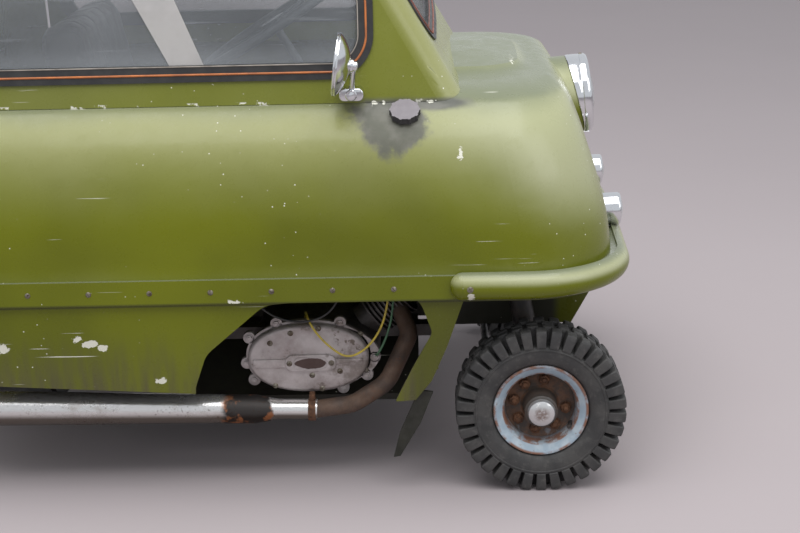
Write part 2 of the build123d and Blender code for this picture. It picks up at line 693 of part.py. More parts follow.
wheel_plane = Plane(
    origin=(STEER_HUB_X, 0, STEER_HUB_Z), x_dir=(0, 1, 0),
    z_dir=(-sin(radians(STEER_LEAN)), 0, cos(radians(STEER_LEAN))),
)
with BuildPart() as steering_wheel:
    with BuildSketch(Plane.XZ):
        with Locations((STEER_WHEEL_RADIUS - STEER_RIM_RADIUS, 0)):
            Circle(STEER_RIM_RADIUS)
    revolve(axis=Axis.Z)
    with BuildSketch(Plane.XY.offset(-14)):
        Circle(26)
    extrude(amount=20)
    for turn in (90, 210, 330):
        end = (cos(radians(turn)) * (STEER_WHEEL_RADIUS - 10), sin(radians(turn)) * (STEER_WHEEL_RADIUS - 10))
        add(rod((0, 0, -4), (end[0], end[1], 0), 5))
    with BuildSketch(Plane.XY.offset(-570)):
        Circle(COLUMN_RADIUS)
    extrude(amount=560)
steering_part = wheel_plane.location * steering_wheel.part
steering_part.label = "steering_wheel"
export_step(steering_part, "parts/steering_wheel.step")

# Pedals and gear lever
with BuildPart() as pedals:
    for y in (-70, 70, 150):
        add(rod((500, y, TRAY_Z + SKIN + 8), (470, y, 380), 5))
        add(block(462, 472, y - 24, y + 24, 370, 430))
    add(rod((500, -90, TRAY_Z + SKIN + 8), (500, 170, TRAY_Z + SKIN + 8), 8))
pedals.part.label = "pedals"
export_step(pedals.part, "parts/pedals.step")
with BuildPart() as gear_lever:
    add(rod((120, -110, FLOOR_Z + SKIN), (120, -110, FLOOR_Z + SKIN + 10), 22))
    add(rod((120, -110, FLOOR_Z + SKIN + 5), (90, -110, 450), 6))
    with Locations((89, -110, 456)):
        Sphere(16)
gear_lever.part.label = "gear_lever"
export_step(gear_lever.part, "parts/gear_lever.step")

# Engine: case with its oval cover, finned cylinder and drive shaft
ENGINE_X = 111.0
ENGINE_Z = 230.0
COVER_Y = -372.0
with BuildPart() as engine_case:
    with BuildSketch(Plane.XZ.offset(-COVER_Y)):
        with Locations((ENGINE_X, ENGINE_Z)):
            Ellipse(116, 60)
    extrude(amount=-200)
    add(rod((DRIVE_X, -200, DRIVE_Z), (DRIVE_X, CHAIN_Y - 20, DRIVE_Z), 28))
    add(rod((DRIVE_X, -100, DRIVE_Z), (DRIVE_X, CHAIN_Y + 8, DRIVE_Z), 9))
    add(rod((DRIVE_X, CHAIN_Y - 2.5, DRIVE_Z), (DRIVE_X, CHAIN_Y + 2.5, DRIVE_Z), DRIVE_SPROCKET_RADIUS))
    # Arms that hang the engine from the bay's front and rear walls
    add(block(BAY_REAR_X, 20, -300, -270, 240, 262))
    add(block(200, BULKHEAD_X - SKIN, -300, -270, 240, 262))
engine_case.part.label = "engine_case"
export_step(engine_case.part, "parts/engine_case.step")
with BuildPart() as engine_cover:
    with BuildSketch(Plane.XZ.offset(-COVER_Y)):
        with Locations((ENGINE_X, ENGINE_Z)):
            Ellipse(122, 66)
    extrude(amount=16)
    fillet(engine_cover.edges().group_by(Axis.Y)[0], 8)
engine_cover.part.label = "engine_cover"
export_step(engine_cover.part, "parts/engine_cover.step")
cylinder_plane = Plane(origin=(196, -290, 268), x_dir=(0, 1, 0), z_dir=(cos(radians(38)), 0, sin(radians(38))))
with BuildPart() as cylinder:
    with BuildSketch(cylinder_plane):
        Circle(30)
    extrude(amount=104)
    for k in range(9):
        with BuildSketch(cylinder_plane.offset(26 + 8 * k)):
            Circle(44)
        extrude(amount=3)
    add(engine_case.part, mode=Mode.SUBTRACT)
cylinder.part.label = "engine_cylinder"
export_step(cylinder.part, "parts/engine_cylinder.step")

# Exhaust: tapered silencer with its socket, then the header pipe that ends in it
HEADER_RADIUS = 16.0
SILENCER_X = 114.0
SILENCER_Y = -400.0
SILENCER_Z = 138.5
SILENCER_SLOPE = 0.021
silencer_plane = Plane(
    origin=(SILENCER_X, SILENCER_Y, SILENCER_Z), x_dir=(0, 1, 0), z_dir=(-1, 0, SILENCER_SLOPE)
)
with BuildPart() as silencer:
    with BuildSketch(Plane.XZ):
        with BuildLine():
            Polyline(
                (0, 4), (HEADER_RADIUS + 0.1, 4), (HEADER_RADIUS + 0.1, 0), (18.5, 0), (18.5, 70),
                (26, 110), (26, 182), (31.5, 570), (12, 600), (12, 690), (0, 690), close=True,
            )
        make_face()
    revolve(axis=Axis.Z)
silencer_part = silencer_plane.location * silencer.part
silencer_part.label = "silencer"
export_step(silencer_part, "parts/silencer.step")
header_points = [
    (262, -316, 304), (282, -350, 262), (240, -380, 180), (178, -397, 146),
    (SILENCER_X - 3, SILENCER_Y, SILENCER_Z),
]
with BuildPart() as exhaust_header:
    add(tube_path(header_points, [28, 60, 60], HEADER_RADIUS))
    add(cylinder.part, mode=Mode.SUBTRACT)
    add(silencer_part, mode=Mode.SUBTRACT)
exhaust_header.part.label = "exhaust_header"
export_step(exhaust_header.part, "parts/exhaust_header.step")

# Front beam: cross tube under the tray with the leaning pillar tubes at its ends
with BuildPart() as front_beam:
    add(block(kingpin_x(240) - 17, kingpin_x(240) + 17, -KINGPIN_Y, KINGPIN_Y, TRAY_Z - 30, TRAY_Z))
    for side in (-1, 1):
        y = side * KINGPIN_Y
        add(rod((kingpin_x(216), y, 216), (kingpin_x(352), y, 352), PILLAR_RADIUS))
    for side in (-1, 1):
        y = side * KINGPIN_Y
        bore = KINGPIN_RADIUS + RUNNING_FIT
        add(rod((kingpin_x(190), y, 190), (kingpin_x(340), y, 340), bore), mode=Mode.SUBTRACT)
    add(block(420, 540, -400, 400, FLANGE_BOTTOM - SKIN, 400), mode=Mode.SUBTRACT)
front_beam.part.label = "front_beam"
export_step(front_beam.part, "parts/front_beam.step")

# Knuckles: kingpin, boss, stub axle and steering arm
STUB_END_Y = 470.0
arm_back = (-cos(radians(KINGPIN_CASTER)), 0, -sin(radians(KINGPIN_CASTER)))
pin_up = (-sin(radians(KINGPIN_CASTER)), 0, cos(radians(KINGPIN_CASTER)))


def pin_point(up, back, y):
    """Point in the kingpin's own directions, from where its axis crosses the stub axle."""
    return (
        AXLE_FRONT_X + up * pin_up[0] + back * arm_back[0], y,
        TYRE_RADIUS + up * pin_up[2] + back * arm_back[2],
    )


ARM_UP = 30.0
for name, side in (("right", -1), ("left", 1)):
    y = side * KINGPIN_Y
    with BuildPart() as knuckle:
        add(rod(pin_point(-18, 0, y), pin_point(55, 0, y), 19))
        add(rod(pin_point(20, 0, y), pin_point(180, 0, y), KINGPIN_RADIUS))
        add(rod((AXLE_FRONT_X, y + side * 3, TYRE_RADIUS), (AXLE_FRONT_X, side * STUB_END_Y, TYRE_RADIUS),
                AXLE_RADIUS))
        add(rod(pin_point(ARM_UP, 4, y), pin_point(ARM_UP, ARM_LENGTH - 4, y), 7))
        add(rod(pin_point(ARM_UP - 8, ARM_LENGTH, y), pin_point(ARM_UP + 8, ARM_LENGTH, y), 13))
        add(rod(pin_point(ARM_UP + 3, ARM_LENGTH, y), pin_point(ARM_UP + 30, ARM_LENGTH, y), 5))
    knuckle.part.label = "knuckle_" + name
    export_step(knuckle.part, "parts/knuckle_" + name + ".step")

# Track rod between the two steering arms
with BuildPart() as track_rod:
    end_y = KINGPIN_Y
    for side in (-1, 1):
        add(rod(pin_point(ARM_UP + 8.3, ARM_LENGTH, side * end_y),
                pin_point(ARM_UP + 26, ARM_LENGTH, side * end_y), 13))
    add(rod(pin_point(ARM_UP + 17, ARM_LENGTH, -end_y), pin_point(ARM_UP + 17, ARM_LENGTH, end_y), 7))
    for side in (-1, 1):
        add(rod(pin_point(ARM_UP, ARM_LENGTH, side * end_y), pin_point(ARM_UP + 60, ARM_LENGTH, side * end_y),
                5 + RUNNING_FIT), mode=Mode.SUBTRACT)
track_rod.part.label = "track_rod"
export_step(track_rod.part, "parts/track_rod.step")

# Rear suspension: mount lugs, trailing fork with its axle, spring units
FORK_PIVOT_X = -330.0
FORK_PIVOT_Z = 168.0
FORK_RIGHT_Y = -92.0
FORK_LEFT_Y = 66.0
with BuildPart() as rear_mounts:
    for y in (FORK_RIGHT_Y - 20, FORK_LEFT_Y + 10):
        add(block(FORK_PIVOT_X - 22, FORK_PIVOT_X + 22, y, y + 8, FORK_PIVOT_Z - 20, FLOOR_Z))
    add(rod((FORK_PIVOT_X, FORK_RIGHT_Y - 24, FORK_PIVOT_Z), (FORK_PIVOT_X, FORK_LEFT_Y + 22, FORK_PIVOT_Z), 6))
rear_mounts.part.label = "rear_mounts"
export_step(rear_mounts.part, "parts/rear_mounts.step")
with BuildPart() as rear_fork:
    add(rod((FORK_PIVOT_X, FORK_RIGHT_Y - 10, FORK_PIVOT_Z), (FORK_PIVOT_X, FORK_LEFT_Y + 8, FORK_PIVOT_Z), 12))
    for y in (FORK_RIGHT_Y, FORK_LEFT_Y):
        add(rod((FORK_PIVOT_X, y, FORK_PIVOT_Z), (AXLE_REAR_X, y, TYRE_RADIUS), 9))
        add(rod((AXLE_REAR_X, y - 9, TYRE_RADIUS), (AXLE_REAR_X, y + 9, TYRE_RADIUS), 16))
    add(rod((AXLE_REAR_X, FORK_RIGHT_Y - 14, TYRE_RADIUS), (AXLE_REAR_X, FORK_LEFT_Y + 14, TYRE_RADIUS), AXLE_RADIUS))
    add(rod((FORK_PIVOT_X, FORK_RIGHT_Y - 40, FORK_PIVOT_Z), (FORK_PIVOT_X, FORK_LEFT_Y + 40, FORK_PIVOT_Z), 6),
        mode=Mode.SUBTRACT)
rear_fork.part.label = "rear_fork"
export_step(rear_fork.part, "parts/rear_fork.step")
with BuildPart() as rear_springs:
    for y in (FORK_RIGHT_Y, FORK_LEFT_Y):
        add(rod((-470, y, 180), (-450, y, WELL_TOP_Z - SKIN), 12))
    add(rear_fork.part, mode=Mode.SUBTRACT)
    add(block(-600, -300, -200, 200, WELL_TOP_Z - SKIN, 400), mode=Mode.SUBTRACT)
rear_springs.part.label = "rear_springs"
export_step(rear_springs.part, "parts/rear_springs.step")

# Wheels: tyre, rim with hub; all three alike
wheel_plane_y = {"front_right": -WHEEL_Y, "front_left": WHEEL_Y, "rear": 0.0}
wheel_x = {"front_right": AXLE_FRONT_X, "front_left": AXLE_FRONT_X, "rear": AXLE_REAR_X}
outside = {"front_right": -1, "front_left": 1, "rear": -1}
for name in ("front_right", "front_left", "rear"):
    place = Plane(origin=(wheel_x[name], wheel_plane_y[name], TYRE_RADIUS), x_dir=(1, 0, 0),
                  z_dir=(0, outside[name], 0))
    with BuildPart() as tyre:
        with BuildSketch(Plane.XZ):
            with BuildLine():
                Line((RIM_SEAT_RADIUS, -RIM_HALF_WIDTH), (RIM_SEAT_RADIUS, RIM_HALF_WIDTH))
                Line((RIM_SEAT_RADIUS, RIM_HALF_WIDTH), (BEAD_RADIUS, RIM_HALF_WIDTH))
                ThreePointArc((BEAD_RADIUS, RIM_HALF_WIDTH), (118, TYRE_HALF_WIDTH), (143, 32))
                ThreePointArc((143, 32), (TYRE_RADIUS, 0), (143, -32))
                ThreePointArc((143, -32), (118, -TYRE_HALF_WIDTH), (BEAD_RADIUS, -RIM_HALF_WIDTH))
                Line((BEAD_RADIUS, -RIM_HALF_WIDTH), (RIM_SEAT_RADIUS, -RIM_HALF_WIDTH))
            make_face()
        revolve(axis=Axis.Z)
    tyre_part = place.location * tyre.part
    tyre_part.label = "tyre_" + name
    export_step(tyre_part, "parts/tyre_" + name + ".step")
    with BuildPart() as rim:
        with BuildSketch(Plane.XZ):
            rim_points = [
                (AXLE_RADIUS + RUNNING_FIT, -34), (24, -34), (24, 2), (60, 6), (68, -10), (70, -34),
                (RIM_RADIUS, -36), (RIM_RADIUS, -RIM_HALF_WIDTH - 0.3),
                (RIM_SEAT_RADIUS, -RIM_HALF_WIDTH - 0.3), (RIM_SEAT_RADIUS, RIM_HALF_WIDTH + 0.3),
                (RIM_RADIUS, RIM_HALF_WIDTH + 0.3), (RIM_RADIUS, 36), (70, 34), (68, 14), (60, 12),
                (34, 12), (34, 20), (24, 20), (24, 36), (AXLE_RADIUS + RUNNING_FIT, 36),
            ]
            with BuildLine():
                Polyline(*rim_points, close=True)
            make_face()
        revolve(axis=Axis.Z)
    rim_part = place.location * rim.part
    rim_part.label = "rim_" + name
    export_step(rim_part, "parts/rim_" + name + ".step")

# Rear sprocket, chain and drive sprocket
with BuildPart() as rear_sprocket:
    add(rod((AXLE_REAR_X, CHAIN_Y - 2.5, TYRE_RADIUS), (AXLE_REAR_X, CHAIN_Y + 2.5, TYRE_RADIUS), REAR_SPROCKET_RADIUS))
    add(rod((AXLE_REAR_X, CHAIN_Y, TYRE_RADIUS), (AXLE_REAR_X, -36.3, TYRE_RADIUS), 24))
    add(rod((AXLE_REAR_X, -90, TYRE_RADIUS), (AXLE_REAR_X, -30, TYRE_RADIUS), AXLE_RADIUS + RUNNING_FIT),
        mode=Mode.SUBTRACT)
rear_sprocket.part.label = "rear_sprocket"
export_step(rear_sprocket.part, "parts/rear_sprocket.step")

with BuildPart() as drive_chain:
    with BuildSketch(Plane.XZ.offset(-(CHAIN_Y - CHAIN_WIDTH / 2))):
        with BuildLine():
            chain_outline()
        make_face()
        offset(amount=-CHAIN_DEPTH, kind=Kind.ARC, mode=Mode.SUBTRACT)
    extrude(amount=-CHAIN_WIDTH)
drive_chain.part.label = "drive_chain"
export_step(drive_chain.part, "parts/drive_chain.step")

# Mud flap behind the right front wheel, torn and hanging
FLAP_THICKNESS = 6.0
flap_y = SIDE_FOOT_HALF - SKIN + 1.2
with BuildPart() as mud_flap:
    with BuildSketch(Plane.XZ.offset(flap_y - FLAP_THICKNESS)):
        with BuildLine():
            Polyline((296, 190), (322, 186), (300, 130), (262, 66), (250, 64), (262, 110), (284, 160), close=True)
        make_face()
    extrude(amount=FLAP_THICKNESS)
mud_flap.part.label = "mud_flap"
export_step(mud_flap.part, "parts/mud_flap.step")

# Door hinges and handle
with BuildPart() as door_hinges:
    for z in (430.0, 560.0):
        add(rod((DOOR_REAR_X, HINGE_Y, z + 14.3), (DOOR_REAR_X, HINGE_Y, z + 34), HINGE_BARREL_RADIUS))
        add(block(DOOR_REAR_X, DOOR_REAR_X + 46, 440, HINGE_Y - 4, z + 16, z + 32))
    add(hull_outer, mode=Mode.SUBTRACT)
    for z in (430.0, 560.0):
        add(rod((DOOR_REAR_X, HINGE_Y, z - 20), (DOOR_REAR_X, HINGE_Y, z + 60), HINGE_PIN_RADIUS + RUNNING_FIT),
            mode=Mode.SUBTRACT)
door_hinges.part.label = "door_hinges"
export_step(door_hinges.part, "parts/door_hinges.step")
with BuildPart() as hinge_brackets:
    for z in (430.0, 560.0):
        add(rod((DOOR_REAR_X, HINGE_Y, z - 6), (DOOR_REAR_X, HINGE_Y, z + 14), HINGE_BARREL_RADIUS))
        add(block(DOOR_REAR_X - 46, DOOR_REAR_X, 440, HINGE_Y - 4, z - 4, z + 12))
        add(rod((DOOR_REAR_X, HINGE_Y, z - 6), (DOOR_REAR_X, HINGE_Y, z + 34), HINGE_PIN_RADIUS))
    add(hull_outer, mode=Mode.SUBTRACT)
hinge_brackets.part.label = "hinge_brackets"
export_step(hinge_brackets.part, "parts/hinge_brackets.step")
with BuildPart() as door_handle:
    add(rod((215, 400, 560), (215, 482, 560), 6))
    add(block(140, 225, 472, 482, 552, 568))
    add(hull_outer, mode=Mode.SUBTRACT)
door_handle.part.label = "door_handle"
export_step(door_handle.part, "parts/door_handle.step")
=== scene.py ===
import json
import math

import bpy
from mathutils import Matrix, Vector
from mathutils.bvhtree import BVHTree


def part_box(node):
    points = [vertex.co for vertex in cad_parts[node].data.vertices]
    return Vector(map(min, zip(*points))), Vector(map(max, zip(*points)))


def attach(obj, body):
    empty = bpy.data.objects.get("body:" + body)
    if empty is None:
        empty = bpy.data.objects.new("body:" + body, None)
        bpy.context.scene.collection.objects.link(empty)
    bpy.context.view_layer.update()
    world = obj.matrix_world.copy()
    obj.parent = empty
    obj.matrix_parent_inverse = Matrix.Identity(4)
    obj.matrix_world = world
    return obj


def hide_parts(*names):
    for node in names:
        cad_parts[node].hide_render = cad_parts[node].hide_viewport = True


# Frame: +X forward, +Y to the car's left, +Z up, origin on the ground. All sizes are metres.

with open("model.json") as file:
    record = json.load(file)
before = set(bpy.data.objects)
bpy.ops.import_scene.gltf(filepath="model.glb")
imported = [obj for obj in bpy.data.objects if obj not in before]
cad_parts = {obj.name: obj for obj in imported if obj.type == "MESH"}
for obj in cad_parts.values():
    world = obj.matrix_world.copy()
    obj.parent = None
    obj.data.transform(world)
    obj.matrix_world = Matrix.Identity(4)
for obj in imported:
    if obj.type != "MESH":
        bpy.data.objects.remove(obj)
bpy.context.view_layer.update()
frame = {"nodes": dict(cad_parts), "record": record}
nodes = frame["nodes"]

# Camera at the photograph's viewpoint
CAMERA_PLACE = (0.322, -3.079, 1.201)
CAMERA_YAW = math.radians(1.15)
CAMERA_PITCH = math.radians(16.59)
CAMERA_ROLL = math.radians(1.41)
CAMERA_LENS = 72.0
SENSOR_WIDTH = 36.0

# Wheels: name, centre and the direction along Y that the outside faces
TYRE_RADIUS = 0.150
WHEEL_Y = 0.420
AXLE_FRONT_X = 0.511
AXLE_REAR_X = -0.526
WHEELS = (
    ("front_right", (AXLE_FRONT_X, -WHEEL_Y, TYRE_RADIUS), -1),
    ("front_left", (AXLE_FRONT_X, WHEEL_Y, TYRE_RADIUS), 1),
    ("rear", (AXLE_REAR_X, 0.0, TYRE_RADIUS), -1),
)

# Shell
FLANGE_MIDDLE_Z = 0.3845
FLANGE_HALF = 0.474
SHOULDER_Z = 0.690
SCREEN_FOOT_X = 0.390
SCREEN_LEAN = 0.581

# Paint and finishes, as linear colours
OLIVE = (0.148, 0.166, 0.002)
OLIVE_DARK = (0.108, 0.122, 0.002)
# Faded paint with a painted highlight of the sky, on the shoulder and on the nose
SIDE_FADE_AND_SHEEN = (0.262, 0.268, 0.110)
NOSE_FADE_AND_SHEEN = (0.350, 0.360, 0.215)
# Faded paint darkened by painted shade, for faces that look straight up
TOP_FADE_AND_SHADE = (0.142, 0.158, 0.100)
# Near black for painted shade: the shadow under the flange and the shade inside the lower moulding
PAINTED_SHADE_BLACK = (0.018, 0.017, 0.014)
PRIMER = (0.72, 0.71, 0.62)
STAIN_GREY = (0.078, 0.078, 0.082)
STAIN_PALE = (0.125, 0.120, 0.122)
LEG_SHADE = (0.035, 0.036, 0.008)
RIM_BLUE = (0.285, 0.360, 0.425)
RIM_PALE = (0.400, 0.465, 0.510)
RUST = (0.180, 0.065, 0.022)
RUST_DARK = (0.060, 0.025, 0.013)
DIRT = (0.075, 0.062, 0.045)
BLACK_RUBBER = (0.022, 0.022, 0.023)
DUST = (0.110, 0.105, 0.098)
SILVER = (0.62, 0.62, 0.62)
FLOOR_GREY = (0.355, 0.312, 0.320)
FLOOR_PALE = (0.380, 0.336, 0.344)


class Shade:
    """A material with short calls for the nodes that colour it."""

    def __init__(self, name, color, roughness=0.5, metallic=0.0):
        self.material = bpy.data.materials.new(name)
        self.material.use_nodes = True
        self.tree = self.material.node_tree
        self.shader = self.tree.nodes["Principled BSDF"]
        self.color = color
        self.feed("Base Color", color)
        self.feed("Roughness", roughness)
        self.feed("Metallic", metallic)
        self.place = self.run("ShaderNodeTexCoord", {}, "Object")

    def put(self, value, socket):
        """Joins a socket, a number, a colour or a direction to an input."""
        if isinstance(value, bpy.types.NodeSocket):
            self.tree.links.new(value, socket)
        elif socket.type == "RGBA":
            socket.default_value = (*value, 1.0)
        else:
            socket.default_value = value

    def run(self, kind, inputs, output, **settings):
        """Adds a node with its settings and inputs, and gives back one of its outputs."""
        node = self.tree.nodes.new(kind)
        for key, value in settings.items():
            setattr(node, key, value)
        for socket, value in inputs.items():
            self.put(value, node.inputs[socket])
        return node.outputs[output]

    def feed(self, socket, value):
        self.put(value, self.shader.inputs[socket])

    def cover(self, share, color, strength=1.0):
        """Turns the base colour to another one by share."""
        self.color = self.mix(self.times(share, strength), self.color, color)
        self.feed("Base Color", self.color)

    def spread(self, kind, output, stretch, levels):
        """Texture over the object's own coordinates, stretched along the axes."""
        place = self.run("ShaderNodeMapping", {"Vector": self.place, "Scale": stretch}, "Vector")
        return self.run(kind, {"Vector": place, **levels}, output)

    def noise(self, scale, detail=4.0, rough=0.55, stretch=(1, 1, 1)):
        """Noise from 0 to 1."""
        levels = {"Scale": scale, "Detail": detail, "Roughness": rough}
        return self.spread("ShaderNodeTexNoise", "Fac", stretch, levels)

    def cells(self, scale):
        """Distance to the nearest of scattered points."""
        return self.spread("ShaderNodeTexVoronoi", "Distance", (1, 1, 1), {"Scale": scale})

    def step(self, value, low, high, start=0.0, end=1.0):
        """Smooth step of a value between two levels."""
        levels = {"Value": value, "From Min": low, "From Max": high, "To Min": start, "To Max": end}
        return self.run("ShaderNodeMapRange", levels, "Result", interpolation_type="SMOOTHSTEP")

    def math(self, operation, a, b=0.0):
        return self.run("ShaderNodeMath", {0: a, 1: b}, "Value", operation=operation)

    def times(self, a, b):
        return self.math("MULTIPLY", a, b)

    def plus(self, a, b):
        return self.math("ADD", a, b)

    def most(self, a, b):
        return self.math("MAXIMUM", a, b)

    def mix(self, share, a, b):
        """Colour a, turning to colour b by share."""
        return self.run("ShaderNodeMix", {"Factor": share, "A": a, "B": b}, "Result", data_type="RGBA")

    def axis(self, name):
        """One coordinate of the place on the object."""
        return self.run("ShaderNodeSeparateXYZ", {"Vector": self.place}, name)

    def facing(self, name):
        """How far the surface faces along an axis, from -1 to 1."""
        normal = self.run("ShaderNodeNewGeometry", {}, "Normal")
        return self.run("ShaderNodeSeparateXYZ", {"Vector": normal}, name)

    def away(self, point, stretch=(1, 1, 1)):
        """Distance from a point, stretched along the axes."""
        kind = "ShaderNodeVectorMath"
        shift = self.run(kind, {0: self.place, 1: point}, "Vector", operation="SUBTRACT")
        shape = self.run(kind, {0: shift, 1: stretch}, "Vector", operation="MULTIPLY")
        return self.run(kind, {0: shape}, "Value", operation="LENGTH")

    def near(self, point, reach, ragged=0.0, stretch=(1, 1, 1), soft=0.82):
        """1 close to a point, 0 beyond reach, its edge made ragged by noise."""
        value = self.away(point, stretch)
        if ragged:
            wobble = self.step(self.noise(0.9 / reach, 6, 0.65), 0.25, 0.75, -ragged, ragged)
            value = self.plus(value, wobble)
        return self.step(value, reach * soft, reach, 1.0, 0.0)

    def near_value(self, value, middle, reach):
        """1 where a value is at the middle, 0 beyond reach above or below it."""
        away = self.math("ABSOLUTE", self.math("SUBTRACT", value, middle))
        return self.step(away, reach * 0.5, reach, 1.0, 0.0)

    def bump(self, height, distance, strength=1.0):
        levels = {"Height": height, "Distance": distance, "Strength": strength}
        self.feed("Normal", self.run("ShaderNodeBump", levels, "Normal"))


# Bare spots in the paint on the right side: x, y, z, half length, half height
PAINT_CHIPS = (
    (-0.293, -0.46, 0.300, 0.010, 0.006),
    (-0.272, -0.46, 0.291, 0.015, 0.007),
    (-0.250, -0.46, 0.283, 0.008, 0.006),
    (-0.425, -0.46, 0.284, 0.009, 0.011),
    (-0.154, -0.46, 0.219, 0.009, 0.006),
    (-0.016, -0.474, 0.366, 0.012, 0.005),
    (0.232, -0.38, 0.690, 0.006, 0.003),
    (0.327, -0.38, 0.690, 0.007, 0.003),
    (0.247, -0.38, 0.690, 0.003, 0.003),
    (0.376, -0.44, 0.612, 0.003, 0.010),
    (0.375, -0.44, 0.606, 0.006, 0.003),
    (0.389, -0.480, 0.372, 0.006, 0.012),
    (0.478, -0.115, 0.716, 0.005, 0.003),
)


def body_paint():
    """Faded olive paint on glass fibre: oxidised on top, chipped, stained round the filler cap."""
    s = Shade("body_paint", OLIVE, 0.3)
    fine = s.noise(38, 6, 0.7)
    x, y, z = s.axis("X"), s.axis("Y"), s.axis("Z")
    s.cover(s.step(s.noise(2.3, 3), 0.35, 0.68), OLIVE_DARK)
    # The paint is paler where it faces the sky and palest on the nose: partly real fading, partly a painted
    # highlight of the sky
    lift = s.plus(s.facing("Z"), s.times(s.plus(s.noise(5, 4), -0.5), 0.22))
    nose = s.times(s.step(x, 0.40, 0.56), s.step(z, 0.46, 0.60))
    fade_and_sheen = s.mix(s.step(x, 0.25, 0.50), SIDE_FADE_AND_SHEEN, NOSE_FADE_AND_SHEEN)
    s.cover(s.step(s.plus(lift, s.times(nose, 0.20)), -0.02, 0.54, 0.0, 0.92), fade_and_sheen)
    # Faces that look straight up turn a darker grey olive: faded paint under painted shade
    s.cover(s.step(lift, 0.62, 1.0, 0.0, 0.9), TOP_FADE_AND_SHADE)
    s.cover(s.step(fine, 0.58, 0.78), OLIVE_DARK, 0.16)
    # Dirt streaks low on the panels, painted shade on the leg ahead of the engine bay, a painted shadow under
    # the flange
    streaks = s.step(s.noise(9, 5, 0.6, (6, 6, 0.6)), 0.35, 0.7)
    s.cover(s.times(s.step(z, 0.34, 0.16), s.plus(streaks, 0.5)), DIRT, 0.6)
    s.cover(s.times(s.step(x, 0.270, 0.300), s.step(z, 0.364, 0.360)), LEG_SHADE, 0.45)
    # Painted shadow in a thin band under the flange
    s.cover(s.near_value(z, 0.361, 0.006), PAINTED_SHADE_BLACK, 0.5)
    # Between the wheels the inner sides of the lower moulding are painted near black, as painted shade
    inside = s.times(s.step(s.math("ABSOLUTE", y), 0.4475, 0.4465), s.step(z, 0.362, 0.358))
    inside = s.times(inside, s.times(s.step(x, -0.440, -0.436), s.step(x, 0.560, 0.540)))
    s.cover(inside, PAINTED_SHADE_BLACK, 0.93)
    # Grey bare patch round the filler cap with a thin tail along the crease
    stain = s.near((0.255, -0.405, 0.670), 0.074, 0.024, (0.90, 0.7, 1.10), 0.65)
    tail = s.near((0.335, -0.386, 0.688), 0.075, 0.012, (1.0, 1.0, 5.0), 0.5)
    stain = s.times(s.most(stain, tail), s.step(z, 0.702, 0.690))
    s.cover(stain, s.mix(s.step(s.noise(30, 5), 0.4, 0.65), STAIN_GREY, STAIN_PALE), 0.82)
    # Fine scratches, specks, a worn crease and the large chips
    scratched = s.step(s.noise(4, 3), 0.52, 0.64)
    bare = s.times(s.step(s.noise(55, 3, 0.4, (0.12, 1, 5)), 0.72, 0.75), scratched)
    bare = s.most(bare, s.times(s.step(s.cells(62), 0.085, 0.065), s.step(s.noise(3.1, 4), 0.54, 0.62)))
    crease = s.times(s.near_value(z, SHOULDER_Z + 0.002, 0.004), s.step(s.noise(24, 4, 0.6), 0.58, 0.62))
    bare = s.most(bare, s.times(crease, s.step(x, SCREEN_FOOT_X, SCREEN_FOOT_X - 0.010)))
    for chip_x, chip_y, chip_z, length, height in PAINT_CHIPS:
        bare = s.most(bare, s.near((chip_x, chip_y, chip_z), length, length * 0.6, (1, 0.1, length / height)))
    s.cover(bare, PRIMER, 0.9)
    worn = s.most(s.most(stain, bare), inside)
    s.feed("Roughness", s.plus(s.step(fine, 0.3, 0.7, 0.24, 0.36), s.times(worn, 0.35)))
    s.feed("Specular IOR Level", 0.28)
    s.feed("Coat Weight", 0.12)
    s.feed("Coat Roughness", 0.14)
    wave = s.plus(s.noise(5, 2), s.times(s.noise(150, 2), 0.02))
    s.bump(s.math("SUBTRACT", wave, s.times(bare, 0.25)), 0.0025, 0.5)
    return s


def simple(name, color, other, roughness, metallic=0, scale=14, share=0.6, bump=0, bump_scale=60):
    """Surface whose colour and gloss wander between two values."""
    s = Shade(name, color, roughness, metallic)
    s.cover(s.step(s.noise(scale, 6, 0.6), 0.38, 0.66), other, share)
    gloss = (roughness * 0.8, min(1.0, roughness * 1.25))
    s.feed("Roughness", s.step(s.noise(scale * 2.3, 5), 0.3, 0.7, *gloss))
    if bump:
        s.bump(s.noise(bump_scale, 6, 0.6), bump, 0.6)
    return s


def window_glass():
    """Old acrylic: grey, hazy, scratched and dusty along its lower edge."""
    s = Shade("window_glass", (0.33, 0.35, 0.37), 0.1)
    haze = s.step(s.noise(3.0, 4), 0.3, 0.7, 0.16, 0.30)
    scratch = s.step(s.noise(30, 3, 0.4, (0.2, 1, 6)), 0.66, 0.74)
    dusty = s.step(s.axis("Z"), 0.800, 0.745)
    s.feed("Alpha", s.plus(s.plus(haze, s.times(scratch, 0.10)), s.times(dusty, 0.18)))
    s.feed("Roughness", s.step(s.noise(20, 4), 0.3, 0.7, 0.06, 0.2))
    return s


def chrome():
    """Plating with a little pitting and dulled patches."""
    s = Shade("chrome", (0.72, 0.73, 0.75), 0.08, 1.0)
    pits = s.times(s.step(s.cells(300), 0.16, 0.10), s.step(s.noise(18, 3), 0.45, 0.6))
    s.cover(pits, RUST, 0.8)
    s.feed("Roughness", s.step(s.noise(25, 5), 0.35, 0.7, 0.06, 0.2))
    return s


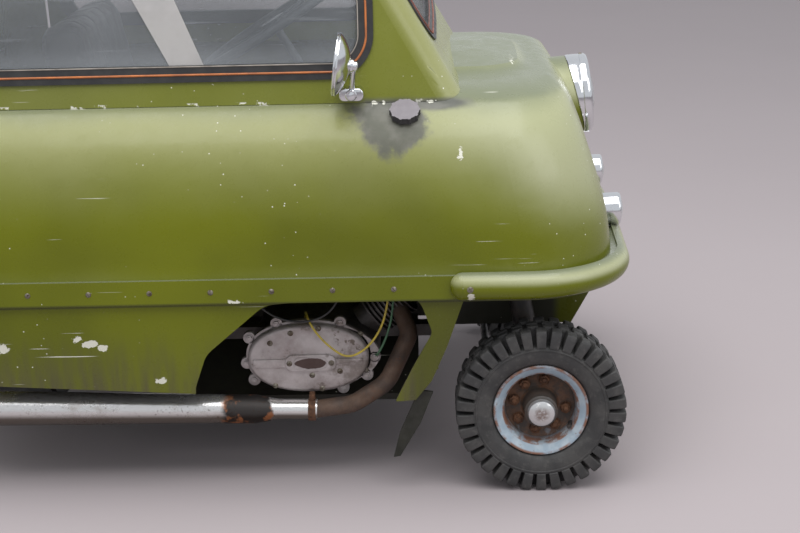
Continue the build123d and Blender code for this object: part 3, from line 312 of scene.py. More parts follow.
def rim_paint(name, centre, capped):
    """Pale steel blue paint, rusty at its edges, and a brown disc round the hub."""
    s = Shade(name, RIM_BLUE, 0.45)
    reach = s.away(centre, (1, 0, 1))
    s.cover(s.step(s.noise(40, 5), 0.4, 0.7), RIM_PALE)
    edge = s.most(s.step(reach, 0.0775, 0.0805), s.near_value(reach, 0.0655, 0.0035))
    edge = s.times(edge, s.step(s.noise(34, 6, 0.7), 0.36, 0.56))
    rusty = s.most(s.step(s.noise(60, 7, 0.7), 0.60, 0.68), edge)
    s.cover(rusty, RUST, 0.9)
    # The disc and the well are brown with dirt that lets a little blue through
    dirt = s.mix(s.step(s.noise(42, 6, 0.7), 0.40, 0.62), (0.050, 0.036, 0.028), (0.125, 0.060, 0.032))
    disc = s.times(s.step(reach, 0.0640, 0.0615), s.step(s.noise(26, 5), 0.66, 0.58, 0.55, 1.0))
    s.cover(disc, dirt)
    s.cover(s.step(reach, 0.0315, 0.0300), (0.040, 0.034, 0.030), 0.85)
    if capped:
        cap = s.step(reach, 0.0250, 0.0243)
        middle = s.times(s.step(reach, 0.0170, 0.0060), s.step(s.noise(120, 5, 0.7), 0.34, 0.56))
        pitted = s.most(middle, s.step(s.noise(150, 5, 0.7), 0.60, 0.68))
        s.cover(cap, SILVER)
        s.cover(s.times(cap, pitted), (0.17, 0.105, 0.075), 0.75)
        s.feed("Metallic", s.times(cap, 0.85))
        s.feed("Roughness", s.math("SUBTRACT", 0.5, s.times(cap, 0.22)))
    s.bump(s.plus(s.noise(90, 6), s.times(rusty, 0.5)), 0.0009, 0.7)
    return s


def tyre_rubber():
    """Old rubber, dusty grey all over."""
    s = simple("tyre_rubber", BLACK_RUBBER, (0.048, 0.046, 0.044), 0.66, 0, 22, 0.8)
    s.cover(s.plus(s.times(s.step(s.noise(80, 6, 0.7), 0.50, 0.72), 0.40), 0.12), DUST)
    s.bump(s.noise(260, 5, 0.6), 0.0006, 0.6)
    return s


def rusty_steel():
    """Pipe under an even brown coat of rust."""
    s = simple("rusty_steel", (0.120, 0.075, 0.052), (0.062, 0.044, 0.036), 0.7, 0.25, 30, 0.9)
    s.cover(s.step(s.noise(120, 6, 0.7), 0.56, 0.66), RUST, 0.40)
    s.bump(s.noise(140, 6, 0.65), 0.001, 0.8)
    return s


def silencer_steel():
    """Bright tube with brown stains, brown underneath, and a burnt black patch near its socket."""
    s = Shade("silencer_steel", (0.70, 0.69, 0.68), 0.34, 0.85)
    stains = s.step(s.noise(16, 6, 0.7, (0.5, 1, 1)), 0.50, 0.70)
    s.cover(stains, (0.24, 0.17, 0.12), 0.55)
    s.cover(s.step(s.facing("Z"), 0.10, -0.35), (0.085, 0.062, 0.045), 0.9)
    from_front = s.plus(s.axis("X"), s.times(s.plus(s.noise(40, 5), -0.5), 0.03))
    patch = s.times(s.step(from_front, 0.036, 0.030), s.step(from_front, -0.060, -0.048))
    burnt = s.mix(s.step(s.noise(34, 5), 0.52, 0.60), (0.020, 0.015, 0.013), (0.30, 0.115, 0.045))
    s.cover(patch, burnt, 0.95)
    s.cover(s.step(s.noise(170, 4, 0.6), 0.62, 0.68), RUST_DARK, 0.6)
    s.feed("Roughness", s.plus(s.step(stains, 0.0, 1.0, 0.26, 0.5), s.times(patch, 0.3)))
    s.bump(s.noise(150, 5), 0.0006, 0.5)
    return s


def engine_alloy():
    """Cast aluminium, dull and dirty, with oily brown patches low down and in the badge, and near black
    painted shade deep in the bay.
    """
    s = Shade("engine_alloy", (0.50, 0.46, 0.455), 0.5, 0.5)
    s.cover(s.step(s.noise(12, 6, 0.7), 0.35, 0.7), (0.30, 0.255, 0.245))
    low = s.near((0.180, -0.380, 0.200), 0.050, 0.03, (1, 0.2, 1), 0.4)
    high = s.near((0.165, -0.380, 0.262), 0.035, 0.03, (1, 0.2, 1), 0.4)
    high = s.times(high, s.step(s.noise(90, 5), 0.5, 0.6))
    oil = s.most(s.most(s.step(s.noise(24, 7, 0.7), 0.60, 0.72), s.times(low, 0.8)), high)
    s.cover(oil, (0.085, 0.058, 0.036), 0.8)
    # Deep inside the bay the castings turn near black: painted shade
    s.cover(s.step(s.axis("Y"), -0.374, -0.352), (0.030, 0.026, 0.023), 0.85)
    s.cover(s.near((0.104, -0.3925, 0.223), 0.0285, 0.003, (1, 1, 2.7), 0.9), (0.050, 0.022, 0.016), 0.92)
    s.feed("Roughness", s.step(s.noise(60, 6), 0.3, 0.7, 0.38, 0.62))
    s.bump(s.noise(210, 6, 0.7), 0.0007, 0.7)
    return s


def cap_top():
    """Filler cap: black moulding, paler on its upward faces."""
    s = simple("cap_top", (0.030, 0.029, 0.032), (0.050, 0.047, 0.050), 0.5, 0, 40, 0.6, 0.0006, 200)
    s.cover(s.step(s.facing("Z"), 0.70, 0.84, 0.0, 0.9), (0.195, 0.175, 0.190))
    return s


def seat_cover():
    """Black grained leathercloth."""
    s = simple("seat_cover", (0.026, 0.025, 0.026), (0.046, 0.043, 0.041), 0.46, 0, 12, 0.6)
    grain = s.step(s.cells(900), 0.0, 0.35)
    s.bump(s.plus(s.times(grain, 0.5), s.times(s.noise(60, 5), 0.8)), 0.0006, 0.7)
    s.feed("Sheen Weight", 0.08)
    return s


# Materials of two colours: name, colour, other colour, roughness, metallic, scale, share, bump, bump scale
FLAT_TABLE = (
    ("inner_skin", (0.075, 0.076, 0.070), (0.040, 0.040, 0.037), 0.75, 0, 9, 0.8, 0.002, 90),
    ("seal_rubber", (0.018, 0.018, 0.019), (0.036, 0.035, 0.034), 0.42, 0, 30, 0.7, 0.0004, 180),
    ("black_metal", (0.020, 0.020, 0.021), (0.060, 0.046, 0.036), 0.45, 0.2, 26, 0.6, 0.0008, 120),
    ("steel", (0.30, 0.28, 0.26), (0.12, 0.085, 0.060), 0.42, 0.8, 60, 0.8, 0.0004, 240),
    ("red_lens", (0.35, 0.012, 0.010), (0.22, 0.010, 0.010), 0.15, 0, 30, 0.5, 0.0003, 120),
    ("yellow_cover", (0.52, 0.40, 0.05), (0.30, 0.22, 0.05), 0.45, 0, 60, 0.7, 0.0002, 300),
    ("green_cover", (0.060, 0.150, 0.075), (0.035, 0.080, 0.045), 0.45, 0, 60, 0.7, 0.0002, 300),
    ("black_cover", (0.018, 0.018, 0.019), (0.045, 0.042, 0.038), 0.5, 0, 60, 0.7, 0.0002, 300),
    ("orange_line", (0.50, 0.155, 0.040), (0.28, 0.090, 0.035), 0.5, 0, 24, 0.8, 0.0002, 300),
    ("pale_line", (0.34, 0.31, 0.27), (0.16, 0.14, 0.12), 0.6, 0, 24, 0.8, 0.0002, 300),
    ("red_line", (0.22, 0.060, 0.035), (0.10, 0.040, 0.030), 0.5, 0, 24, 0.8, 0.0002, 300),
    ("screw_steel", (0.24, 0.22, 0.18), (0.085, 0.055, 0.036), 0.5, 0.7, 160, 0.9, 0.0003, 400),
    ("rusty_nut", (0.150, 0.070, 0.036), (0.060, 0.030, 0.018), 0.75, 0.3, 90, 0.9, 0.0006, 220),
    ("wheel_grey", (0.120, 0.135, 0.155), (0.070, 0.078, 0.088), 0.4, 0, 16, 0.7, 0.0004, 200),
    ("mirror_glass", (0.80, 0.81, 0.82), (0.70, 0.71, 0.72), 0.03, 1.0, 20, 0.4, 0, 0),
    ("flap_rubber", (0.014, 0.0135, 0.009), (0.024, 0.023, 0.016), 0.7, 0, 26, 0.8, 0.0008, 120),
)


def lens_glass():
    """Ribbed lamp glass over a silvered bowl, with dusty patches."""
    s = Shade("lens_glass", (0.62, 0.64, 0.65), 0.10, 0.35)
    dust = s.step(s.noise(30, 5), 0.42, 0.68)
    s.cover(dust, (0.42, 0.42, 0.40), 0.5)
    s.feed("Roughness", s.step(dust, 0, 1, 0.08, 0.25))
    s.feed("Coat Weight", 0.6)
    s.feed("Coat Roughness", 0.05)
    return s


def patch_film():
    """Clear sheet that overlaps the side window, a little milky."""
    s = Shade("patch_film", (0.62, 0.60, 0.58), 0.25)
    s.feed("Alpha", s.step(s.noise(8, 4), 0.3, 0.7, 0.34, 0.50))
    return s


BUILDERS = (
    body_paint, window_glass, chrome, tyre_rubber, rusty_steel, silencer_steel, engine_alloy, lens_glass,
    cap_top, seat_cover, patch_film,
)
materials = {make.__name__: make().material for make in BUILDERS}
materials["rim_paint"] = rim_paint("rim_paint", WHEELS[0][1], True).material
for wheel, middle, _ in WHEELS:
    finish_name = "rim_paint_" + wheel
    materials[finish_name] = rim_paint(finish_name, middle, wheel != "rear").material
for row in FLAT_TABLE:
    materials[row[0]] = simple(*row).material

# Nodes that have a finish of their own within their slot
OWN_FINISH = {
    "rim_rear": "rim_paint_rear", "filler_cap": "cap_top", "steering_wheel": "wheel_grey",
    "mud_flap": "flap_rubber",
}
for part in frame["record"]["subparts"]:
    slots = nodes[part["node"]].data.materials
    slots.clear()
    slots.append(materials[OWN_FINISH.get(part["node"], part["material_slot"])])


def around(radius, turn, height=0.0):
    """Point at a radius and an angle round the Z axis."""
    return Vector((radius * math.cos(turn), radius * math.sin(turn), height))


def hoop(place, radius, height, steps):
    """Evenly spaced points of a circle round the Z axis of a placing matrix."""
    return [place @ around(radius, 2 * math.pi * k / steps, height) for k in range(steps)]


class Form:
    """Mesh that grows by turned, swept and shaped parts and becomes one piece."""

    def __init__(self):
        self.points = []
        self.faces = []

    def grid(self, rows, close_rows=False, close_columns=True):
        """Skin over rows of points, each row as long as the next."""
        start = len(self.points)
        width = len(rows[0])
        for row in rows:
            self.points.extend(Vector(point) for point in row)
        for i in range(len(rows) if close_rows else len(rows) - 1):
            for j in range(width if close_columns else width - 1):
                a, b = i * width, (i + 1) % len(rows) * width
                k = (j + 1) % width
                self.faces.append((start + a + j, start + a + k, start + b + k, start + b + j))
        return start

    def lid(self, ring):
        """Closes a ring of points with one face."""
        start = len(self.points)
        self.points.extend(Vector(point) for point in ring)
        self.faces.append(tuple(range(start, start + len(ring))))

    def lids(self, rows):
        """Closes the first and the last ring of a skin."""
        self.lid(list(reversed(rows[0])))
        self.lid(rows[-1])

    def turned(self, profile, place, steps=32, squeeze=None):
        """Turns pairs of radius and height round the Z axis of a placing matrix."""
        rows = []
        for radius, height in profile:
            ring = []
            for k in range(steps):
                turn = 2 * math.pi * k / steps
                grow = squeeze(turn) if squeeze else 1.0
                ring.append(place @ around(radius * grow, turn, height))
            rows.append(ring)
        self.grid(rows)
        if profile[0][0] > 0.0:
            self.lid(list(reversed(rows[0])))
        if profile[-1][0] > 0.0:
            self.lid(rows[-1])

    def ring(self, section, place, steps=64):
        """Turns a closed section of radius and height round the Z axis of a placing matrix."""
        self.grid([hoop(place, radius, height, steps) for radius, height in section], close_rows=True)

    def slab(self, outline, place, back, front, bevel=0.0, middle=(0.0, 0.0)):
        """Plate over an outline from back to front, its front edge rounded by bevel."""
        centre = Vector(middle)
        steps = 5 if bevel else 0
        rows = [[place @ Vector((p[0], p[1], back)) for p in outline]]
        for k in range(steps + 1):
            turn = math.pi / 2 * k / steps if steps else math.pi / 2
            inward = bevel * (1 - math.cos(turn))
            height = front - bevel + bevel * math.sin(turn)
            row = []
            for p in outline:
                point = Vector(p)
                point = point + (centre - point).normalized() * inward
                row.append(place @ Vector((point.x, point.y, height)))
            rows.append(row)
        self.grid(rows)
        self.lids(rows)

    def swept(self, path, radius, sides=8, closed=False):
        """Round bead along a path of points."""
        rows = []
        count = len(path)
        turns = [2 * math.pi * k / sides for k in range(sides)]
        normal = None
        for i, point in enumerate(path):
            before = path[(i - 1) % count] if closed or i else point
            after = path[(i + 1) % count] if closed or i < count - 1 else point
            along = (after - before).normalized()
            if normal is None:
                normal = along.orthogonal().normalized()
            normal = (normal - along * normal.dot(along)).normalized()
            other = along.cross(normal)
            rows.append([point + (normal * math.cos(t) + other * math.sin(t)) * radius for t in turns])
        self.grid(rows, close_rows=closed)
        if not closed:
            self.lids(rows)

    def slotted_screw(self, place, radius, height, slot, turn=0.0):
        """Round head of a screw in two halves with a slot between them, on a thin washer."""
        turned = place @ Matrix.Rotation(turn, 4, "Z")
        self.turned([(0.0, 0.0), (radius, 0.0), (radius, height * 0.3), (0.0, height * 0.3)], turned, 20)
        steps = 6
        for half in (-1, 1):
            rows = []
            for i in range(steps + 1):
                v = slot / 2 + (radius * 0.995 - slot / 2) * i / steps
                chord = math.sqrt(max(radius * radius - v * v, 0.0))
                row = []
                for j in range(-steps, steps + 1):
                    u = chord * j / steps
                    rise = height * (1.0 - 0.7 * (u * u + v * v) / (radius * radius))
                    row.append(turned @ Vector((u * half, v * half, rise)))
                rows.append(row)
            self.grid(rows, close_columns=False)
            wall = rows[0]
            foot = [
                turned @ Vector((p.x, p.y, height * 0.25))
                for p in (turned.inverted() @ point for point in wall)
            ]
            self.grid([foot, wall], close_columns=False)

    def piece(self, name, finish, body, sharp=40.0):
        """Turns the mesh into an object that rides on a body."""
        mesh = bpy.data.meshes.new(name)
        mesh.from_pydata([tuple(point) for point in self.points], [], self.faces)
        mesh.validate()
        mesh.materials.append(materials[finish])
        made = bpy.data.objects.new(name, mesh)
        bpy.context.scene.collection.objects.link(made)
        clean(made, sharp)
        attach(made, body)
        return made


def clean(made, sharp):
    """Merges doubled points, turns the faces outward and smooths all but the sharp edges."""
    for other in bpy.context.selected_objects:
        other.select_set(False)
    bpy.context.view_layer.objects.active = made
    made.select_set(True)
    bpy.ops.object.mode_set(mode="EDIT")
    bpy.ops.mesh.select_all(action="SELECT")
    bpy.ops.mesh.remove_doubles(threshold=0.00001)
    bpy.ops.mesh.dissolve_degenerate(threshold=0.00001)
    bpy.ops.mesh.select_all(action="SELECT")
    bpy.ops.mesh.normals_make_consistent(inside=False)
    bpy.ops.object.mode_set(mode="OBJECT")
    made.data.shade_smooth()
    made.data.set_sharp_from_angle(angle=math.radians(sharp))
    made.select_set(False)


def placing(origin, direction, side=(0.0, 0.0, 1.0)):
    """Matrix whose Z axis points along a direction, its X axis towards side."""
    z = Vector(direction).normalized()
    x = Vector(side) - z * Vector(side).dot(z)
    x = x.normalized() if x.length > 0.001 else z.orthogonal().normalized()
    y = z.cross(x)
    turn = Matrix((x, y, z)).transposed().to_4x4()
    return Matrix.Translation(Vector(origin)) @ turn


def surface(mesh):
    """Search tree over a mesh."""
    points = [vertex.co.copy() for vertex in mesh.vertices]
    return BVHTree.FromPolygons(points, [tuple(face.vertices) for face in mesh.polygons])


def rounded(points, radii, spacing=0.010):
    """Closed outline in a plane through corners that are rounded by arcs."""
    outline = []
    count = len(points)
    for i, (corner, radius) in enumerate(zip(points, radii)):
        here = Vector(corner)
        to_before = (Vector(points[i - 1]) - here).normalized()
        to_after = (Vector(points[(i + 1) % count]) - here).normalized()
        half = to_before.angle(to_after) / 2
        reach = radius / math.tan(half)
        middle = here + (to_before + to_after).normalized() * (radius / math.sin(half))
        start = here + to_before * reach - middle
        sweep = math.pi - 2 * half
        turning = 1.0 if to_before.cross(to_after) < 0 else -1.0
        steps = max(4, int(radius * sweep / 0.004))
        arc = [
            middle + Matrix.Rotation(turning * sweep * k / steps, 2) @ start
            for k in range(steps + 1)
        ]
        if outline:
            outline.extend(filled(outline[-1], arc[0], spacing))
        outline.extend(arc)
    outline.extend(filled(outline[-1], outline[0], spacing))
    return outline


def filled(start, end, spacing):
    """Points between two points of an outline."""
    count = int((end - start).length / spacing)
    return [start.lerp(end, k / (count + 1)) for k in range(1, count + 1)]


# Window outlines: the seal's outer edge in the window's own plane, then the corner radii
SIDE_WINDOW = (
    ((-0.515, 0.731), (0.232, 0.731), (0.232, 0.872), (0.126, 1.055), (-0.515, 1.055)),
    (0.075, 0.075, 0.060, 0.060, 0.075),
)
DOOR_WINDOW = (
    ((-0.462, 0.728), (0.214, 0.728), (0.214, 0.822), (0.087, 1.022), (-0.462, 1.022)),
    (0.060, 0.060, 0.050, 0.050, 0.060),
)
REAR_WINDOW = (
    ((-0.245, 0.760), (0.245, 0.760), (0.225, 1.025), (-0.225, 1.025)),
    (0.060, 0.060, 0.060, 0.060),
)
SCREEN = (
    ((-0.324, -0.176), (0.324, -0.176), (0.278, 0.170), (-0.278, 0.170)),
    (0.060, 0.060, 0.060, 0.060),
)
SCREEN_MIDDLE_Z = 0.930


def inset(points, radii, amount):
    """Outline moved inward, its corners' radii smaller by as much."""
    moved = []
    count = len(points)
    for i, corner in enumerate(points):
        here = Vector(corner)
        before = (here - Vector(points[i - 1])).normalized()
        after = (Vector(points[(i + 1) % count]) - here).normalized()
        inward = Vector((-before.y, before.x)) + Vector((-after.y, after.x))
        cosine = math.sqrt((1 + before.dot(after)) / 2)
        moved.append(tuple(here + inward.normalized() * (amount / cosine)))
    return moved, [max(radius - amount, 0.006) for radius in radii]


# Lines in a seal: name, inset from its outer edge, radius, finish on the screen and on other windows
SEAL_LINES = (
    ("filler", 0.0125, 0.0019, "red_line", "orange_line"),
    ("edge", 0.0262, 0.0011, "red_line", "pale_line"),
)
RAY_FROM_SIDE = 0.60
RAY_FROM_REAR = 0.90
RAY_FROM_SCREEN = 0.10
SUNK_SHARE = 0.2


def window_lines():
    """Coloured filler strips in the rubber seals, and the seals' thin inner edges."""
    slope = Vector((-SCREEN_LEAN, 0.0, 1.0)).normalized()
    out = Vector((1.0, 0.0, SCREEN_LEAN)).normalized()
    screen_x = SCREEN_FOOT_X - SCREEN_LEAN * (SCREEN_MIDDLE_Z - SHOULDER_Z)
    before_screen = Vector((screen_x, 0.0, SCREEN_MIDDLE_Z)) + out * RAY_FROM_SCREEN
    x, y, z = Vector((1, 0, 0)), Vector((0, 1, 0)), Vector((0, 0, 1))
    # Each window: outline, its seal's node and body, then origin, axes and inward direction of the rays
    windows = {
        "side": (SIDE_WINDOW, "cabin_seals", "body", y * -RAY_FROM_SIDE, x, z, y),
        "door": (DOOR_WINDOW, "door_seals", "door", y * RAY_FROM_SIDE, x, z, -y),
        "rear": (REAR_WINDOW, "cabin_seals", "body", x * -RAY_FROM_REAR, y, z, x),
        "screen": (SCREEN, "cabin_seals", "body", before_screen, y, slope, -out),
    }
    for window, (outline, node, body, origin, first, second, inward) in windows.items():
        tree = surface(nodes[node].data)
        for label, amount, radius, screen_finish, finish in SEAL_LINES:
            path = []
            for point in rounded(*inset(*outline, amount)):
                place, _, _, _ = tree.ray_cast(origin + first * point[0] + second * point[1], inward)
                if place:
                    path.append(place - inward * radius * SUNK_SHARE)
            form = Form()
            form.swept(path, radius, 8, closed=True)
            shown = screen_finish if window == "screen" else finish
            form.piece("window_" + label + "_" + window, shown, body, 60)


# Half of the tyre's section: radius and distance from the middle plane, from the bead up the side wall
SIDE_WALL = (
    (0.0762, 0.0300), (0.0850, 0.0304), (0.0862, 0.0340), (0.0895, 0.0372), (0.0960, 0.0402),
    (0.1030, 0.0419), (0.1090, 0.0426), (0.1122, 0.0428), (0.1130, 0.0437), (0.1150, 0.0438),
    (0.1158, 0.0428),
)
# Then over the shoulder, through a lug and through the gap between two lugs
SHOULDER_SECTION = (
    ((0.1178, 0.0427), (0.1178, 0.0424)),
    ((0.1190, 0.0438), (0.1188, 0.0412)),
    ((0.1215, 0.0440), (0.1196, 0.0390)),
    ((0.1300, 0.0439), (0.1200, 0.0360)),
    ((0.1400, 0.0434), (0.1204, 0.0330)),
    ((0.1460, 0.0426), (0.1207, 0.0300)),
    ((0.1486, 0.0410), (0.1210, 0.0260)),
    ((0.1497, 0.0385), (0.1214, 0.0220)),
    ((0.1500, 0.0300), (0.1220, 0.0190)),
    ((0.1500, 0.0200), (0.1260, 0.0180)),
    ((0.1494, 0.0182), (0.1400, 0.0178)),
    ((0.1450, 0.0176), (0.1450, 0.0174)),
    ((0.1450, 0.0160), (0.1450, 0.0160)),
)
# The band of smaller blocks along the middle, through a block and through the gap beside it
TREAD_SECTION = (
    ((0.1492, 0.0152), (0.1452, 0.0152)),
    ((0.1500, 0.0140), (0.1448, 0.0140)),
    ((0.1500, 0.0036), (0.1448, 0.0036)),
    ((0.1492, 0.0024), (0.1450, 0.0024)),
    ((0.1450, 0.0018), (0.1450, 0.0018)),
)
LUG_COUNT = 34
# Angular stations in half a pitch, from a lug's middle, and how much of the lug stands there
HALF_PITCH = (
    (0.14, 1.0), (0.16, 1.0), (0.19, 1.0), (0.24, 1.0), (0.26, 1.0), (0.31, 0.98), (0.34, 0.93), (0.36, 0.0),
)
LUG_STATIONS = (
    (-0.50, 0.0), *((-station, share) for station, share in reversed(HALF_PITCH)), (0.0, 1.0), *HALF_PITCH,
)


def tyre(name, centre, side):
    """Block tread tyre: shoulder lugs, a middle band of blocks and round side walls."""
    share_at = dict(LUG_STATIONS)
    outer_section = tuple((point, point) for point in SIDE_WALL) + SHOULDER_SECTION
    form = Form()
    columns = []
    for lug in range(LUG_COUNT):
        for station, share in LUG_STATIONS:
            # The middle band's blocks stand half a pitch away from the lugs
            shifted = round(station + 0.5 if station <= 0.0 else station - 0.5, 2)
            inner = share_at.get(shifted, share_at.get(-shifted, 0.0))
            turn = 2 * math.pi * (lug + station) / LUG_COUNT + math.pi / 2
            half = []
            for section, amount in ((outer_section, share), (TREAD_SECTION, inner)):
                for (lug_radius, lug_depth), (gap_radius, gap_depth) in section:
                    radius = gap_radius + (lug_radius - gap_radius) * amount
                    half.append((radius, gap_depth + (lug_depth - gap_depth) * amount))
            whole = half + [(radius, -depth) for radius, depth in reversed(half)]
            columns.append([
                Vector(centre) + Vector((radius * math.cos(turn), side * depth, radius * math.sin(turn)))
                for radius, depth in whole
            ])
    form.grid(columns, close_rows=True, close_columns=True)
    made = form.piece("tyre_" + name + "_tread", "tyre_rubber", "wheel_" + name, 32)
    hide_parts("tyre_" + name)


NUT_ANGLES = (80, 125, 170, 215, 260, 305, 350)
NUT_CIRCLE = 0.0465
NUT_SUNK = 0.0022
# Turned profiles on a wheel: radius and height above the disc
WASHER = ((0.0, 0.0), (0.0105, 0.0), (0.0105, 0.0016), (0.0, 0.0016))
NUT = ((0.0, 0.001), (0.0092, 0.0012), (0.0092, 0.0080), (0.0080, 0.0092), (0.0062, 0.0094))
STUD = ((0.0, 0.006), (0.0056, 0.008), (0.0056, 0.0105), (0.0048, 0.0122), (0.0028, 0.0134), (0.0, 0.0138))
VALVE = (
    (0.0, 0.0), (0.0052, 0.0), (0.0046, 0.008), (0.0034, 0.010), (0.0034, 0.020), (0.0040, 0.0205),
    (0.0040, 0.0265), (0.0030, 0.028), (0.0, 0.028),
)
VALVE_ANGLE = 328
VALVE_CIRCLE = 0.0640
VALVE_OUT = 0.010
VALVE_LEAN = 0.25


def hexagon(turn):
    """How far a nut reaches at an angle, as a share of its corner radius."""
    sixth = math.pi / 3
    return 0.93 / math.cos((turn + sixth / 2) % sixth - sixth / 2)


def wheel_details(name, centre, side):
    """Wheel nuts with their washers and stud ends, and the valve."""
    nuts = Form()
    out = Vector((0, side, 0))
    for angle in NUT_ANGLES:
        turn = math.radians(angle)
        spot = Vector((math.cos(turn), 0, math.sin(turn))) * NUT_CIRCLE - out * NUT_SUNK
        place = placing(Vector(centre) + spot, out, (math.cos(turn + angle), 0, math.sin(turn + angle)))
        nuts.turned(WASHER, place, 20)
        nuts.turned(NUT, place, 24, hexagon)
        nuts.turned(STUD, place, 20)
    nuts.piece("wheel_nuts_" + name, "rusty_nut", "wheel_" + name, 35)
    valve = Form()
    turn = math.radians(VALVE_ANGLE)
    across = Vector((math.cos(turn), 0, math.sin(turn)))
    foot = Vector(centre) + across * VALVE_CIRCLE + out * VALVE_OUT
    valve.turned(VALVE, placing(foot, out - across * VALVE_LEAN), 16)
    valve.piece("wheel_valve_" + name, "black_metal", "wheel_" + name, 35)


FLANGE_SCREW_FRONT_X = 0.2582
FLANGE_SCREW_PITCH = 0.1047
FLANGE_SCREWS = 8
SCREW_SUNK = 0.0004


def flange_screws():
    """Row of slotted screws that join the two mouldings, on both sides."""
    form = Form()
    for side in (-1, 1):
        for k in range(FLANGE_SCREWS):
            x = FLANGE_SCREW_FRONT_X - k * FLANGE_SCREW_PITCH
            place = placing((x, side * (FLANGE_HALF - SCREW_SUNK), FLANGE_MIDDLE_Z), (0, side, 0))
            form.slotted_screw(place, 0.0048, 0.0028, 0.0012, 0.7 + 1.9 * k)
    form.piece("flange_screws", "screw_steel", "body", 30)


# Slotted screws on the engine cover: x and z where they stand
COVER_SCREWS = (
    (0.0327, 0.2607), (0.0392, 0.1800), (0.0700, 0.2790), (0.1060, 0.1990), (0.1230, 0.1730),
    (0.1199, 0.2868), (0.1940, 0.2700), (0.2020, 0.2010), (0.1560, 0.2060),
)
BADGE_SCREWS = ((0.0662, 0.2232), (0.1412, 0.2232))


def engine_details():
    """Slotted screws in the engine cover and in the ends of its raised plate."""
    tree = surface(bpy.data.objects["engine_cover_cast"].data)
    form = Form()
    for k, (x, z) in enumerate(COVER_SCREWS + BADGE_SCREWS):
        spot, _, _, _ = tree.ray_cast(Vector((x, -0.50, z)), Vector((0, 1, 0)))
        place = placing(spot + Vector((0, SCREW_SUNK, 0)), (0, -1, 0))
        form.slotted_screw(place, 0.0052, 0.0032, 0.0014, 0.4 + 1.3 * k)
    form.piece("engine_screws", "screw_steel", "body", 30)


CLAMP_PLACE = (0.112, -0.400, 0.1385)
SILENCER_WAY = (-1, 0, 0.021)
CLAMP_BAND = (
    (0.0183, 0.001), (0.0204, 0.001), (0.0208, 0.003), (0.0208, 0.012), (0.0204, 0.014), (0.0183, 0.014),
)
CLAMP_BOSS = ((0.0, 0.0), (0.0052, 0.0), (0.0052, 0.0112), (0.0036, 0.0128), (0.0, 0.0128))
BOSS_TURN = 0.22


def exhaust_clamp():
    """Band round the silencer's socket with the two bosses of its bolt."""
    place = placing(CLAMP_PLACE, SILENCER_WAY)
    form = Form()
    form.turned(CLAMP_BAND, place, 40)
    for turn in (-BOSS_TURN, BOSS_TURN):
        boss = placing(place @ around(0.0195, turn, 0.0075), place.to_3x3() @ around(1.0, turn))
        form.turned(CLAMP_BOSS, boss, 12)
    form.piece("exhaust_clamp", "rusty_nut", "body", 35)


LENS_RADIUS = 0.0667
LENS_RINGS = 40
LENS_SPOKES = 96
FLUTE_DEPTH = 0.0007


def lamp_place():
    """Placing of the headlamp, which looks a little upward."""
    return placing(LAMP_CENTRE, (math.cos(LAMP_TILT), 0, math.sin(LAMP_TILT)))


def lamp_glass():
    """Fluted lenses of the headlamp and the two small front lamps."""
    form = Form()
    # Each lens: placing, radius, heights of back, edge and crown, number of flutes
    lenses = [(lamp_place(), LENS_RADIUS, 0.002, 0.009, 0.025, 26)]
    lenses += [(placing(spot, (1, 0, 0)), 0.0235, -0.005, 0.0, 0.006, 10) for spot in SMALL_LAMPS]
    for place, radius, back, edge, crown, flutes in lenses:
        rows = [hoop(place, radius, back, LENS_SPOKES)]
        for i in range(LENS_RINGS + 1):
            r = radius * (1 - i / LENS_RINGS * 0.995)
            rise = edge + (crown - edge) * (1 - (r / radius) ** 2)
            row = []
            for k in range(LENS_SPOKES):
                turn = 2 * math.pi * k / LENS_SPOKES
                wave = math.pi * flutes * (r * math.sin(turn) / radius + 1) / 2
                rib = FLUTE_DEPTH * radius / LENS_RADIUS * abs(math.sin(wave))
                row.append(place @ around(r, turn, rise - rib))
            rows.append(row)
        form.grid(rows)
        form.lids(rows)
    made = form.piece("lamp_glass", "lens_glass", "body", 60)
    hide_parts("lamp_lenses")


def lamp_trim():
    """Seam beads on the headlamp's rim and the small lamps, and the rim's clamp screw."""
    place = lamp_place()
    beads = Form()
    beads.swept(hoop(place, 0.0672, 0.0150, 96), 0.0011, 8, closed=True)
    for spot in SMALL_LAMPS:
        beads.swept(hoop(placing(spot, (1, 0, 0)), 0.0240, -0.0004, 64), 0.0009, 8, closed=True)
    beads.piece("lamp_beads", "chrome", "body", 60)
    screw = Form()
    on_top = place @ Matrix.Translation((0.0755, 0, 0.004)) @ Matrix.Rotation(math.pi / 2, 4, "Y")
    screw.slotted_screw(on_top, 0.0042, 0.003, 0.0012)
    screw.piece("headlamp_screw", "screw_steel", "body", 30)


TAIL_LAMPS = (Vector((-0.680, -0.250, 0.480)), Vector((-0.680, 0.250, 0.480)))
TAIL_RIM = (
    (0.0262, -0.010), (0.0292, -0.010), (0.0296, -0.006), (0.0290, -0.001), (0.0272, 0.0010),
    (0.0256, 0.0004), (0.0256, -0.002), (0.0262, -0.004),
)
TAIL_RINGS = (0.006, 0.011, 0.016, 0.021)


def tail_lamp_trim():
    """Chrome rims and moulded rings on the tail lamps."""
    rims = Form()
    rings = Form()
    for spot in TAIL_LAMPS:
        place = placing(spot, (-1, 0, 0))
        rims.turned(TAIL_RIM, place, 48)
        for radius in TAIL_RINGS:
            rings.swept(hoop(place, radius, 0.0002, 48), 0.0011, 6, closed=True)
    rims.piece("tail_lamp_rims", "chrome", "body", 50)
    rings.piece("tail_lamp_rings", "red_lens", "body", 60)


MIRROR_CENTRE = Vector((0.173, -0.435, 0.766))
MIRROR_FOOT = Vector((0.193, -0.401, 0.709))
MIRROR_LEAN = math.radians(8)
KNOB_MIDDLE = 0.027
CLAMP_FOOT_Y = -0.3450
